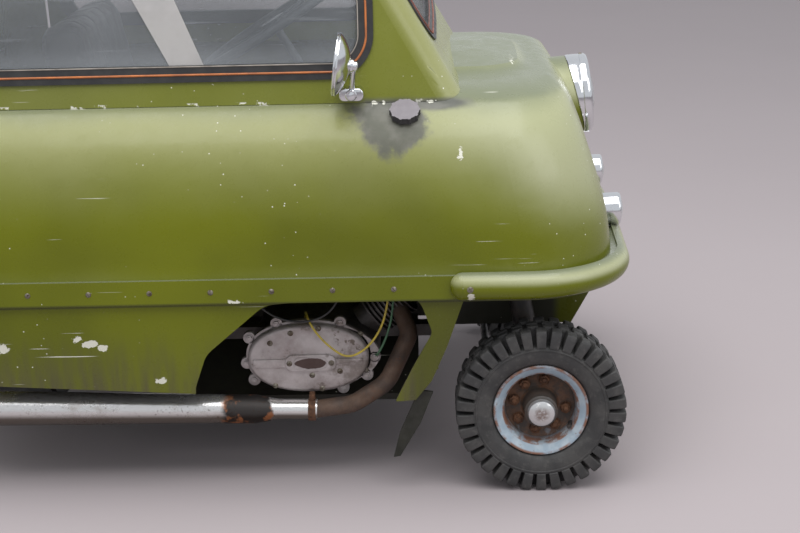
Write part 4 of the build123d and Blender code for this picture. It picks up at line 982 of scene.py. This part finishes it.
# Turned profiles of the mirror: radius and height above the middle of its rim or the clamp's foot
MIRROR_RIM = (
    (0.0, -0.0036), (0.0500, -0.0036), (0.0502, -0.0052), (0.0522, -0.0052), (0.0534, -0.0040),
    (0.0534, -0.0026), (0.0524, -0.0014), (0.0534, 0.0), (0.0534, 0.0016),
)
MIRROR_KNOB = (
    (0.017, 0.014), (0.0165, 0.0205), (0.0120, 0.0222), (0.0115, 0.0262), (0.0085, 0.0272),
    (0.0085, 0.0318), (0.0065, 0.0338), (0.0, 0.0342),
)
MIRROR_PANE = ((0.0, -0.0046), (0.0494, -0.0044), (0.0494, -0.0034), (0.0, -0.0034))
CLAMP_CAP = ((0.010, 0.060), (0.010, 0.069), (0.0085, 0.0705), (0.0, 0.0705))


def bar(middle, half_length, half_width):
    """Corners of a rectangle that lies along X."""
    back, front = middle - half_length, middle + half_length
    return [(back, -half_width), (front, -half_width), (front, half_width), (back, half_width)]


def mirror():
    """Round mirror: domed back with a double rim, stepped knob, stem, clamp block and glass."""
    place = placing(MIRROR_CENTRE, (math.cos(MIRROR_LEAN), 0, -math.sin(MIRROR_LEAN)))
    form = Form()
    form.turned([*MIRROR_RIM, *dome(0.0525, 0.0024, 0.022)[:-3]], place, 80)
    form.turned(MIRROR_KNOB, place, 40)
    knob = place @ Vector((0, 0, KNOB_MIDDLE))
    form.swept([knob.lerp(MIRROR_FOOT, k / 8) for k in range(9)], 0.0052, 14)
    clamp = placing((MIRROR_FOOT.x, CLAMP_FOOT_Y, MIRROR_FOOT.z), (0, -1, 0), (1, 0, 0))
    form.slab(rounded(bar(0.0, 0.021, 0.011), [0.009] * 4, 0.006), clamp, 0.0, 0.066, 0.003)
    form.turned(CLAMP_CAP, clamp, 28)
    form.slotted_screw(clamp @ Matrix.Translation((0, 0, 0.0704)), 0.0066, 0.0022, 0.0022, 0.3)
    made = form.piece("wing_mirror_parts", "chrome", "body", 38)
    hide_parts("wing_mirror")
    glass = Form()
    glass.turned(MIRROR_PANE, place, 64)
    glass.piece("mirror_glass", "mirror_glass", "body", 40)


# Window patch: rear and front edge at its foot and at its head, height from and to, thickness
PATCH_FOOT_X = (-0.1130, -0.0550)
PATCH_HEAD_X = (-0.2200, -0.1400)
PATCH_Z = (0.750, 0.950)
PATCH_WALL = 0.0008
PATCH_PLANE_Y = -0.3815


def window_patch():
    """Clear sheet that stands slanting over the side window, held behind the seal."""
    rows = []
    for i in range(21):
        share = i / 20
        z = PATCH_Z[0] + (PATCH_Z[1] - PATCH_Z[0]) * share
        back, front = (a + (b - a) * share for a, b in zip(PATCH_FOOT_X, PATCH_HEAD_X))
        y = PATCH_PLANE_Y + WALL_LEAN * (z - SHOULDER_Z)
        inner = [Vector((back + (front - back) * j / 8, y + PATCH_WALL, z)) for j in range(9)]
        outer = [Vector((point.x, y, z)) for point in reversed(inner)]
        rows.append(inner + outer)
    form = Form()
    form.grid(rows)
    form.lids(rows)
    form.piece("window_patch", "patch_film", "body", 40)


def circle(radius, steps=32, middle=(0.0, 0.0)):
    """Points of a circle."""
    return [Vector(middle) + around(radius, 2 * math.pi * k / steps).xy for k in range(steps)]


def fuller(value):
    """Share of a half axis, drawn outward so that an oval is a little fuller than an ellipse."""
    return math.copysign(abs(value) ** 0.90, value)


def oval(half_length, half_height, steps=120):
    """Points of a full oval."""
    turns = [2 * math.pi * k / steps for k in range(steps)]
    return [(half_length * fuller(math.cos(t)), half_height * fuller(math.sin(t))) for t in turns]


def slot_outline(length, height, middle, steps=16):
    """Outline with straight sides and half round ends."""
    shift = Vector(((length - height) / 2, 0.0))
    points = []
    for sign in (1, -1):
        for k in range(steps + 1):
            end = around(height / 2, math.pi * (k / steps - 0.5)).xy
            points.append(Vector(middle) + (shift + end) * sign)
    return points


def dome(radius, edge, crown, steps=14):
    """Profile of a spherical crown from its edge to its middle."""
    rise = crown - edge
    sphere = (radius * radius + rise * rise) / (2 * rise)
    profile = []
    for k in range(steps + 1):
        r = radius * (1 - k / steps)
        profile.append((r, crown - sphere + math.sqrt(sphere * sphere - r * r)))
    return profile


ENGINE_MIDDLE = (0.100, -0.372, 0.230)
# Bolt lugs round the engine's flange, as distances from the middle of its cover
FLANGE_LUGS = (
    (-0.106, 0.036), (-0.112, -0.012), (-0.100, -0.044), (-0.056, 0.062), (0.058, 0.062), (0.060, -0.062),
    (0.104, -0.038), (0.118, -0.004),
)
BADGE_MIDDLE = (0.004, -0.007)


def engine_cover():
    """Flange with bolt lugs, crowned oval cover, the rib across it and the raised plate on the rib."""
    place = placing(ENGINE_MIDDLE, (0, -1, 0), (1, 0, 0))
    form = Form()
    form.slab(oval(0.113, 0.068), place, -0.012, 0.0, 0.0015)
    for lug in FLANGE_LUGS:
        form.slab(circle(0.011, 28, lug), place, -0.012, 0.0, 0.0012, lug)
        form.slab(circle(0.0078, 20, lug), place, 0.0, 0.0010, 0.0, lug)
        form.slab(circle(0.0060, 6, lug), place, 0.0, 0.0048, 0.0008, lug)
        form.slab(circle(0.0030, 16, lug), place, 0.0, 0.0062, 0.0006, lug)
    form.slab(oval(0.1085, 0.0635), place, -0.002, 0.016, 0.0085)
    rib = [(-0.099, -0.015), (-0.099, 0.0), (0.0, 0.0015), (0.097, 0.0), (0.097, -0.005), (0.0, -0.015)]
    form.slab(rib, place, 0.010, 0.0190, 0.0016, BADGE_MIDDLE)
    form.slab(slot_outline(0.093, 0.031, BADGE_MIDDLE), place, 0.010, 0.0205, 0.0022, BADGE_MIDDLE)
    plate = slot_outline(0.060, 0.0225, BADGE_MIDDLE)
    form.swept([place @ Vector((p[0], p[1], 0.0207)) for p in plate], 0.0011, 6, closed=True)
    made = form.piece("engine_cover_cast", "engine_alloy", "body", 32)
    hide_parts("engine_cover")


# Rim section: radius and distance from the wheel's middle plane, then the ends of its hub
RIM_SECTION = (
    (0.0101, -0.034), (0.024, -0.034), (0.024, -0.008), (0.058, -0.007), (0.062, -0.014), (0.068, -0.033),
    (0.0795, -0.0362), (0.0832, -0.0352), (0.0835, -0.0303), (0.076, -0.0303), (0.076, 0.0303),
    (0.0835, 0.0303), (0.0838, 0.0345), (0.0825, 0.0362), (0.0805, 0.0362), (0.0785, 0.0350),
    (0.0755, 0.0330), (0.0660, 0.0260), (0.0645, 0.0235), (0.0632, 0.0060), (0.0620, 0.0010),
    (0.0575, -0.0020), (0.0340, -0.0020), (0.0315, 0.0000),
)
OPEN_HUB = ((0.024, 0.003), (0.024, 0.034), (0.022, 0.036), (0.0101, 0.036))
CAPPED_HUB = (
    (0.029, 0.004), (0.029, 0.039), (0.028, 0.040), (0.0250, 0.0415), (0.0245, 0.046), (0.0225, 0.0505),
    (0.0180, 0.0532), (0.0120, 0.0550), (0.0060, 0.0558), (0.0, 0.0560), (0.0, 0.0520), (0.0101, 0.0515),
)


def rim(name, centre, side):
    """Pressed rim with a slanted outer band, a deep disc and the hub."""
    form = Form()
    form.ring(RIM_SECTION + (OPEN_HUB if name == "rear" else CAPPED_HUB), placing(centre, (0, side, 0)), 96)
    made = form.piece("rim_" + name + "_pressed", "rim_paint_" + name, "wheel_" + name, 34)
    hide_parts("rim_" + name)


LAMP_CENTRE = Vector((0.620, 0.0, 0.629))
LAMP_TILT = math.radians(5)
LAMP_LEAN_BACK = math.radians(15)
LAMP_COLLAR_BACK = 0.0126
LAMP_RADIUS = 0.076


def collar_at(radius, turn):
    """Where the slanted plane between fairing and rim crosses a ray along the lamp's axis."""
    lean = LAMP_LEAN_BACK - LAMP_TILT
    return -LAMP_COLLAR_BACK - radius * math.cos(turn) * math.tan(lean)


def headlamp():
    """Fairing on the nose and the two-part chrome rim, deeper at the top."""
    place = lamp_place()
    steps = 96

    def row(radius, height=None, lift=0.0):
        points = []
        for k in range(steps):
            turn = 2 * math.pi * k / steps
            along = collar_at(radius, turn) + lift if height is None else height
            points.append(place @ around(radius, turn, along))
        return points

    pod = Form()
    rows = [row(0.075, -0.120), row(0.075, None, -0.002), row(0.0735, None, 0.0)]
    pod.grid(rows)
    pod.lid(rows[-1])
    made = pod.piece("headlamp_fairing", "body_paint", "body", 40)
    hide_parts("headlamp_pod")
    rim_form = Form()
    rim_form.grid([
        row(0.070, None, 0.001), row(LAMP_RADIUS - 0.001, None, 0.0005), row(LAMP_RADIUS, None, 0.0015),
        row(LAMP_RADIUS, -0.0030), row(0.0752, -0.0020), row(0.0752, -0.0008),
        row(LAMP_RADIUS + 0.0006, 0.0002), row(LAMP_RADIUS + 0.0006, 0.0080), row(0.0753, 0.0115),
        row(0.0735, 0.0142), row(0.0710, 0.0157),
        row(0.0685, 0.0160), row(0.0672, 0.0150), row(0.0670, 0.0020), row(0.060, 0.0015),
    ])
    made = rim_form.piece("headlamp_chrome", "chrome", "body", 40)
    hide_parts("headlamp_rim")


SMALL_LAMPS = (Vector((0.679, -0.163, 0.438)), Vector((0.679, 0.163, 0.438)))
LAMP_BOWL = (
    (0.027, -0.070), (0.0305, -0.020), (0.0310, -0.005), (0.0300, -0.0018), (0.0275, 0.0),
    (0.0245, -0.0004), (0.0238, -0.0050), (0.0, -0.0052),
)


def small_lamps():
    """Chrome bowls of the two front lamps."""
    form = Form()
    for spot in SMALL_LAMPS:
        form.turned(LAMP_BOWL, placing(spot, (1, 0, 0)), 56)
    made = form.piece("front_lamp_bowls", "chrome", "body", 40)
    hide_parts("front_lamps")


BUMPER_START_X = 0.376
BUMPER_MIDDLE_Z = 0.3875
BUMPER_HALF_HEIGHT = 0.0245
BUMPER_DEPTH = 0.022
BUMPER_SUNK = 0.0005


def bumper_ends():
    """Round ends that close the bumper's half round section, each with its screw."""
    form = Form()
    for side in (-1, 1):
        rows = []
        for k in range(11):
            turn = math.pi / 2 * k / 10
            row = []
            for j in range(17):
                lift = math.pi * (j / 16 - 0.5)
                out = BUMPER_DEPTH * math.cos(lift)
                x = BUMPER_START_X + 0.0002 - out * math.sin(turn)
                y = side * (FLANGE_HALF - BUMPER_SUNK + out * math.cos(turn))
                row.append(Vector((x, y, BUMPER_MIDDLE_Z + BUMPER_HALF_HEIGHT * math.sin(lift))))
            rows.append(row)
        form.grid(rows, close_columns=False)
    form.piece("bumper_ends", "body_paint", "body", 40)
    screws = Form()
    for side in (-1, 1):
        y = side * (FLANGE_HALF + BUMPER_DEPTH - BUMPER_SUNK)
        place = placing((BUMPER_START_X + 0.012, y, BUMPER_MIDDLE_Z), (0, side, 0))
        screws.slotted_screw(place, 0.0055, 0.0028, 0.0014, 0.5)
    screws.piece("bumper_screws", "screw_steel", "body", 30)


WIPER_TOP = 0.178
ARM_REACH = 0.150
BLADE_LENGTH = 0.240
BRIDGE_SHARE = 0.62
SPINDLE = ((0.012, -0.006), (0.012, 0.003), (0.008, 0.005), (0.0075, 0.014), (0.005, 0.016), (0.0, 0.0165))


def wiper():
    """Wiper that hangs from its spindle above the windscreen: arm, bridge and blade."""
    screen_x = SCREEN_FOOT_X - SCREEN_LEAN * (SCREEN_MIDDLE_Z - SHOULDER_Z)
    place = placing((screen_x, 0, SCREEN_MIDDLE_Z), (1, 0, SCREEN_LEAN), (-SCREEN_LEAN, 0, 1))
    form = Form()
    top = place @ Matrix.Translation((WIPER_TOP, 0, 0))
    form.turned(SPINDLE, top, 28)
    low = WIPER_TOP - ARM_REACH
    start, end = WIPER_TOP + 0.004, low - 0.008
    arm = [(start, -0.005), (start, 0.005), (end, 0.0026), (end, -0.0026)]
    form.slab(arm, place, 0.0095, 0.0130, 0.0008, (low + ARM_REACH / 2, 0))
    half = BLADE_LENGTH / 2
    form.slab(bar(low, half * BRIDGE_SHARE, 0.003), place, 0.0070, 0.0095, 0.0006, (low, 0))
    made = form.piece("wiper_arm", "chrome", "body", 35)
    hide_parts("wiper")
    rubber = Form()
    rubber.slab(bar(low, half, 0.0028), place, 0.0014, 0.0072, 0.0012, (low, 0))
    rubber.piece("wiper_blade", "black_cover", "body", 35)


# Wires in the engine bay: name, finish, route
WIRES = (
    ("wire_yellow", "yellow_cover", (
        (0.248, -0.405, 0.418), (0.248, -0.405, 0.372), (0.244, -0.407, 0.330), (0.232, -0.409, 0.290),
        (0.206, -0.408, 0.254), (0.172, -0.407, 0.236), (0.142, -0.406, 0.256), (0.118, -0.404, 0.282),
        (0.104, -0.396, 0.304), (0.098, -0.372, 0.312), (0.096, -0.350, 0.304), (0.094, -0.336, 0.286),
    )),
    ("wire_green", "green_cover", (
        (0.257, -0.398, 0.418), (0.257, -0.398, 0.372), (0.254, -0.399, 0.330), (0.248, -0.402, 0.294),
        (0.236, -0.405, 0.262), (0.226, -0.400, 0.243), (0.222, -0.388, 0.233), (0.220, -0.370, 0.230),
    )),
    ("cable_black", "black_cover", (
        (-0.006, -0.396, 0.418), (-0.006, -0.396, 0.388), (0.006, -0.403, 0.350), (0.034, -0.407, 0.322),
        (0.068, -0.408, 0.308), (0.104, -0.408, 0.306), (0.138, -0.407, 0.318), (0.160, -0.403, 0.346),
        (0.170, -0.396, 0.388), (0.170, -0.396, 0.418),
    )),
)
WIRE_RADIUS = 0.002


def wires():
    """Wires held at both ends between the bay's roof and the engine."""
    for name, finish, points in WIRES:
        curve = bpy.data.curves.new(name, "CURVE")
        curve.dimensions = "3D"
        curve.bevel_depth = WIRE_RADIUS
        curve.bevel_resolution = 3
        curve.resolution_u = 10
        curve.use_fill_caps = True
        spline = curve.splines.new("NURBS")
        spline.points.add(len(points) - 1)
        for control, point in zip(spline.points, points):
            control.co = (*point, 1.0)
        spline.order_u = 3
        spline.use_endpoint_u = True
        curve.materials.append(materials[finish])
        made = bpy.data.objects.new(name, curve)
        bpy.context.scene.collection.objects.link(made)
        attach(made, "body")


CROWN_SHARE = 0.66
FOOT_TOP_Z = 0.750
SIDE_WINDOW_REAR_X = -0.530
SIDE_WINDOW_FRONT_X = 0.250
WALL_LEAN = 0.155
WALL_FROM_Y = 0.30
PILLAR_FOOT_X = 0.330
NOSE_UNDER_X = 0.450
TRAY_FRONT_X = 0.632
TRAY_Z = 0.258
TRAY_TOP_Z = 0.363
TRAY_RIM = 0.007
TRAY_HALF = 0.295
TRAY_TUCK = 0.055


def flatter(point):
    """Lowers the bonnet and the tail deck towards the shoulder."""
    above = point.z - SHOULDER_Z
    return Vector((point.x, point.y, SHOULDER_Z + above * CROWN_SHARE)) if above > 0.0 else point


def longer_foot(point):
    """Carries the cabin's front and rear foot down the slope of its walls to the lowered hull."""
    above = point.z - SHOULDER_Z
    front_x = PILLAR_FOOT_X if abs(point.y) > WALL_FROM_Y else SIDE_WINDOW_FRONT_X
    beside_window = SIDE_WINDOW_REAR_X < point.x < front_x
    if above <= 0.0 or point.z > FOOT_TOP_Z or beside_window:
        return point
    drop = above * (1 - CROWN_SHARE)
    ahead = SCREEN_LEAN * drop if point.x > SIDE_WINDOW_FRONT_X else 0.0
    out = math.copysign(WALL_LEAN * drop, point.y) if abs(point.y) > WALL_FROM_Y else 0.0
    return Vector((point.x + ahead, point.y + out, point.z - drop))


def tucked(point):
    """Draws the front tray's lower edge back under the nose."""
    if point.x < NOSE_UNDER_X or point.z > TRAY_TOP_Z - TRAY_RIM or abs(point.y) > TRAY_HALF:
        return point
    ahead = (point.x - NOSE_UNDER_X) / (TRAY_FRONT_X - NOSE_UNDER_X)
    below = (TRAY_TOP_Z - point.z) / (TRAY_TOP_Z - TRAY_Z)
    return Vector((point.x - TRAY_TUCK * ahead * below, point.y, point.z))


# Mouldings that follow the photograph more closely than their solids: node, piece, how points move
MOULDINGS = (
    ("upper_hull", "upper_hull_moulding", flatter),
    ("cabin_shell", "cabin_moulding", longer_foot),
    ("lower_body", "lower_moulding", tucked),
)


def mouldings():
    """The three mouldings, bent a little from the meshes of their nodes."""
    for node, name, move in MOULDINGS:
        made = bpy.data.objects.new(name, nodes[node].data.copy())
        bpy.context.scene.collection.objects.link(made)
        for vertex in made.data.vertices:
            vertex.co = move(vertex.co.copy())
        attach(made, "body")
        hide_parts(node)


# Guessed splash plate, painted near black as shade, between the floor's edge and the sump: x from and to,
# then y and z of both edges
SPLASH_X = (-0.130, 0.296)
SPLASH_TOP = (-0.163, 0.236)
SPLASH_FOOT = (-0.300, 0.128)
SPLASH_WALL = 0.002
SPLASH_LIP = 0.012


def shade_splash_plate():
    """Slanted plate that closes the engine bay towards the underside, with a folded lower edge; a guessed
    part, its near black paint is painted shade.
    """
    form = Form()
    top, foot = Vector(SPLASH_TOP), Vector(SPLASH_FOOT)
    down = (foot - top).normalized()
    inward = Vector((-down.y, down.x)) * SPLASH_WALL
    lip = foot - Vector((0.0, SPLASH_LIP))
    edge = [top, foot, lip, lip + Vector((SPLASH_WALL, 0.0)), foot + inward, top + inward]
    form.grid([[Vector((x, p.x, p.y)) for p in edge] for x in SPLASH_X])
    for x in SPLASH_X:
        form.lid([Vector((x, p.x, p.y)) for p in edge])
    form.piece("bay_splash_plate", "body_paint", "body", 30)


SPRING_Y = (-0.092, 0.066)
SPRING_FOOT_X = -0.471
SPRING_FOOT_Z = 0.172
SPRING_WAY = (0.107, 0, 1.0)
GAITER_RIBS = 10
GAITER_PITCH = 0.014
GAITER_RIB = ((0.0120, 0.034), (0.0134, 0.038), (0.0120, 0.042), (0.0096, 0.046))


def springs():
    """Ribbed rubber gaiters over the two rear spring units."""
    form = Form()
    for y in SPRING_Y:
        profile = [(0.008, 0.010), (0.008, 0.032)]
        for k in range(GAITER_RIBS):
            profile += [(radius, height + GAITER_PITCH * k) for radius, height in GAITER_RIB]
        profile += [(0.0096, 0.1805)]
        form.turned(profile, placing((SPRING_FOOT_X, y, SPRING_FOOT_Z), SPRING_WAY), 32)
    made = form.piece("spring_gaiters", "seal_rubber", "body", 40)
    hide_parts("rear_springs")


SPROCKET_TEETH = 28
# A tooth's outline: radius, and angle as a share of the pitch
TOOTH = ((0.0500, -0.32), (0.0520, -0.22), (0.0548, -0.10), (0.0548, 0.10), (0.0520, 0.22), (0.0500, 0.32))


def sprocket():
    """Toothed rear sprocket with a stiffening ring, on its hub."""
    place = placing((AXLE_REAR_X, -0.072, TYRE_RADIUS), (0, -1, 0), (1, 0, 0))
    teeth = []
    for k in range(SPROCKET_TEETH):
        for radius, share in TOOTH:
            teeth.append(around(radius, 2 * math.pi / SPROCKET_TEETH * (k + share)).xy)
    form = Form()
    form.slab(teeth, place, -0.0025, 0.0025)
    form.ring([(0.026, 0.002), (0.030, 0.0042), (0.034, 0.0042), (0.036, 0.002)], place, 48)
    form.ring([(0.0103, -0.0355), (0.024, -0.0355), (0.024, 0.003), (0.0103, 0.003)], place, 40)
    for k in range(5):
        spot = around(0.0425, 2 * math.pi * k / 5).xy
        form.slab(circle(0.0046, 6, spot), place, 0.002, 0.0062, 0.0006, spot)
    made = form.piece("sprocket_teeth", "steel", "wheel_rear", 30)
    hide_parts("rear_sprocket")


CHAIN_Y = -0.072
CHAIN_LINKS = 108
ARC_STEPS = 400
PLATE_RADIUS = 0.0034
OUTER_PLATE = 0.0034
INNER_PLATE = 0.0022
PLATE_WALL = 0.0010
PIN_AND_ROLLER = (
    (0.0, -0.0048), (0.0016, -0.0048), (0.0016, -0.0021), (0.0027, -0.0021), (0.0027, 0.0021),
    (0.0016, 0.0021), (0.0016, 0.0048), (0.0, 0.0048),
)
CHAIN_DRIVE = (0.020, 0.195, 0.0259)
CHAIN_REAR = (AXLE_REAR_X, TYRE_RADIUS, 0.0589)


def chain_line():
    """Evenly spaced pins of the chain: two straight runs and the arcs round both sprockets."""
    (drive_x, drive_z, small), (rear_x, rear_z, big) = CHAIN_DRIVE, CHAIN_REAR
    span, rise = rear_x - drive_x, rear_z - drive_z
    length = math.hypot(span, rise)
    heading = math.atan2(rise, span)
    spread = math.acos((small - big) / length)
    dense = []
    for middle, radius, start, sweep in (
        ((drive_x, drive_z), small, heading + spread, 2 * math.pi - 2 * spread),
        ((rear_x, rear_z), big, heading - spread, 2 * spread),
    ):
        for k in range(ARC_STEPS):
            dense.append(Vector(middle) + around(radius, start + sweep * k / ARC_STEPS).xy)
    dense.append(dense[0])
    lengths = [0.0]
    for a, b in zip(dense, dense[1:]):
        lengths.append(lengths[-1] + (b - a).length)
    pins = []
    j = 0
    for k in range(CHAIN_LINKS):
        target = lengths[-1] * k / CHAIN_LINKS
        while lengths[j + 1] < target:
            j += 1
        share = (target - lengths[j]) / (lengths[j + 1] - lengths[j])
        pins.append(dense[j].lerp(dense[j + 1], share))
    return pins


def chain():
    """Roller chain: pairs of inner and outer side plates joined by rollers on their pins."""
    pins = chain_line()
    form = Form()
    for k, (a, b) in enumerate(zip(pins, pins[1:] + pins[:1])):
        along = (b - a).normalized()
        across = Vector((-along.y, along.x))
        outline = []
        for end, sign in ((b, 1), (a, -1)):
            for step in range(7):
                turn = math.pi * (step / 6 - 0.5)
                outline.append(end + (along * math.cos(turn) + across * math.sin(turn)) * sign * PLATE_RADIUS)
        near = OUTER_PLATE if k % 2 else INNER_PLATE
        for side in (-1, 1):
            inner = [Vector((p.x, CHAIN_Y + side * near, p.y)) for p in outline]
            outer = [Vector((p.x, CHAIN_Y + side * (near + PLATE_WALL), p.y)) for p in outline]
            form.grid([inner, outer])
            form.lid(inner)
            form.lid(outer)
        form.turned(PIN_AND_ROLLER, placing((a.x, CHAIN_Y, a.y), (0, 1, 0)), 10)
    made = form.piece("chain_links", "steel", "body", 35)
    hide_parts("drive_chain")


# Seat pads: how small the block starts, its mesh, the cloth's frames, the most it swells, its channels
PAD_START = 0.965
PAD_VOXEL = 0.006
CLOTH_FRAMES = 20
PAD_SWELL = 0.012
SEAMS = (-0.060, 0.028, 0.142, 0.230)
SEAM_REACH = 0.007
SEAM_DEPTH = 0.005


def padded(node, name, limits):
    """Seat pad: the CAD block, remeshed and blown up by cloth simulation, then sewn in channels."""
    made = bpy.data.objects.new(name, nodes[node].data.copy())
    bpy.context.scene.collection.objects.link(made)
    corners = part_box(node)
    centre = (Vector(corners[0]) + Vector(corners[1])) / 2
    for vertex in made.data.vertices:
        vertex.co = centre + (vertex.co - centre) * PAD_START
    remesh = made.modifiers.new("remesh", "REMESH")
    remesh.mode = "VOXEL"
    remesh.voxel_size = PAD_VOXEL
    apply_all(made)
    start = [vertex.co.copy() for vertex in made.data.vertices]
    cloth = made.modifiers.new("cloth", "CLOTH")
    cloth.settings.use_pressure = True
    cloth.settings.uniform_pressure_force = 4.0
    cloth.settings.effector_weights.gravity = 0.0
    cloth.point_cache.frame_start = 1
    cloth.point_cache.frame_end = CLOTH_FRAMES
    for number in range(1, CLOTH_FRAMES + 1):
        bpy.context.scene.frame_set(number)
    apply_all(made)
    bpy.context.scene.frame_set(1)
    low, high = Vector(limits[0]), Vector(limits[1])
    for vertex, before in zip(made.data.vertices, start):
        move = vertex.co - before
        if move.length > PAD_SWELL:
            vertex.co = before + move.normalized() * PAD_SWELL
    subdivide = made.modifiers.new("subdivide", "SUBSURF")
    subdivide.levels = 1
    subdivide.render_levels = 1
    apply_all(made)
    for vertex in made.data.vertices:
        point = vertex.co
        for seam in SEAMS:
            groove = max(0.0, 1.0 - abs(point.y - seam) / SEAM_REACH)
            vertex.co = vertex.co + (centre - point).normalized() * SEAM_DEPTH * groove * groove
        for k in range(3):
            vertex.co[k] = min(max(vertex.co[k], low[k]), high[k])
    made.data.materials.clear()
    made.data.materials.append(materials["seat_cover"])
    made.data.shade_smooth()
    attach(made, "body")
    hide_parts(node)


def apply_all(made):
    """Puts what the modifiers make into the mesh."""
    view = bpy.context.evaluated_depsgraph_get()
    result = bpy.data.meshes.new_from_object(made.evaluated_get(view))
    old = made.data
    made.modifiers.clear()
    made.data = result
    bpy.data.meshes.remove(old)


def seat():
    """Cushion and back, each with sewn channels."""
    low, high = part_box("seat_cushion")
    start = (low[0] - 0.004, low[1] - 0.006, low[2] + 0.0002)
    end = (high[0] + 0.008, high[1] + 0.006, high[2] + 0.012)
    padded("seat_cushion", "seat_cushion_pad", (start, end))
    low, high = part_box("seat_back")
    start = (low[0] - 0.006, low[1] - 0.006, low[2] + 0.0002)
    end = (high[0] + 0.002, high[1] + 0.006, high[2] + 0.010)
    padded("seat_back", "seat_back_pad", (start, end))


def camera():
    """Camera at the photograph's viewpoint."""
    data = bpy.data.cameras.new("photo_camera")
    data.lens = CAMERA_LENS
    data.sensor_width = SENSOR_WIDTH
    data.clip_start = 0.05
    data.clip_end = 60.0
    view = bpy.data.objects.new("photo_camera", data)
    turn = (
        Matrix.Rotation(CAMERA_YAW, 4, "Z")
        @ Matrix.Rotation(math.pi / 2 - CAMERA_PITCH, 4, "X")
        @ Matrix.Rotation(-CAMERA_ROLL, 4, "Z")
    )
    view.matrix_world = Matrix.Translation(CAMERA_PLACE) @ turn
    bpy.context.scene.collection.objects.link(view)
    bpy.context.scene.camera = view


def floor_and_light():
    """Plain pale floor, a soft sky and two broad lamps."""
    scene = bpy.context.scene
    scene.view_settings.view_transform = "Standard"
    bpy.ops.mesh.primitive_plane_add(size=40)
    ground = bpy.context.object
    ground.name = "floor"
    s = Shade("floor_plain", FLOOR_GREY, 0.9)
    s.feed("Base Color", s.mix(s.noise(0.8, 3), FLOOR_GREY, FLOOR_PALE))
    ground.data.materials.append(s.material)
    world = bpy.data.worlds.new("soft_sky")
    scene.world = world
    world.use_nodes = True
    sky = world.node_tree.nodes["Background"]
    sky.inputs["Color"].default_value = (0.93, 0.96, 1.0, 1.0)
    sky.inputs["Strength"].default_value = 0.75
    for name, place, size, power in (
        ("overhead", (0.3, -1.2, 4.2), 4.0, 190.0),
        ("front_fill", (3.2, -2.2, 2.4), 2.0, 25.0),
    ):
        lamp = bpy.data.lights.new(name, "AREA")
        lamp.size = size
        lamp.energy = power
        light = bpy.data.objects.new(name, lamp)
        light.location = place
        aim = Vector((0.1, 0.0, 0.5)) - Vector(place)
        light.rotation_euler = aim.to_track_quat("-Z", "Y").to_euler()
        scene.collection.objects.link(light)


camera()
floor_and_light()
window_lines()
for wheel_name, wheel_centre, wheel_side in WHEELS:
    tyre(wheel_name, wheel_centre, wheel_side)
    rim(wheel_name, wheel_centre, wheel_side)
    wheel_details(wheel_name, wheel_centre, wheel_side)
flange_screws()
engine_cover()
engine_details()
exhaust_clamp()
lamp_glass()
lamp_trim()
tail_lamp_trim()
mirror()
window_patch()
chain()
headlamp()
small_lamps()
bumper_ends()
wiper()
wires()
mouldings()
shade_splash_plate()
springs()
sprocket()
seat()
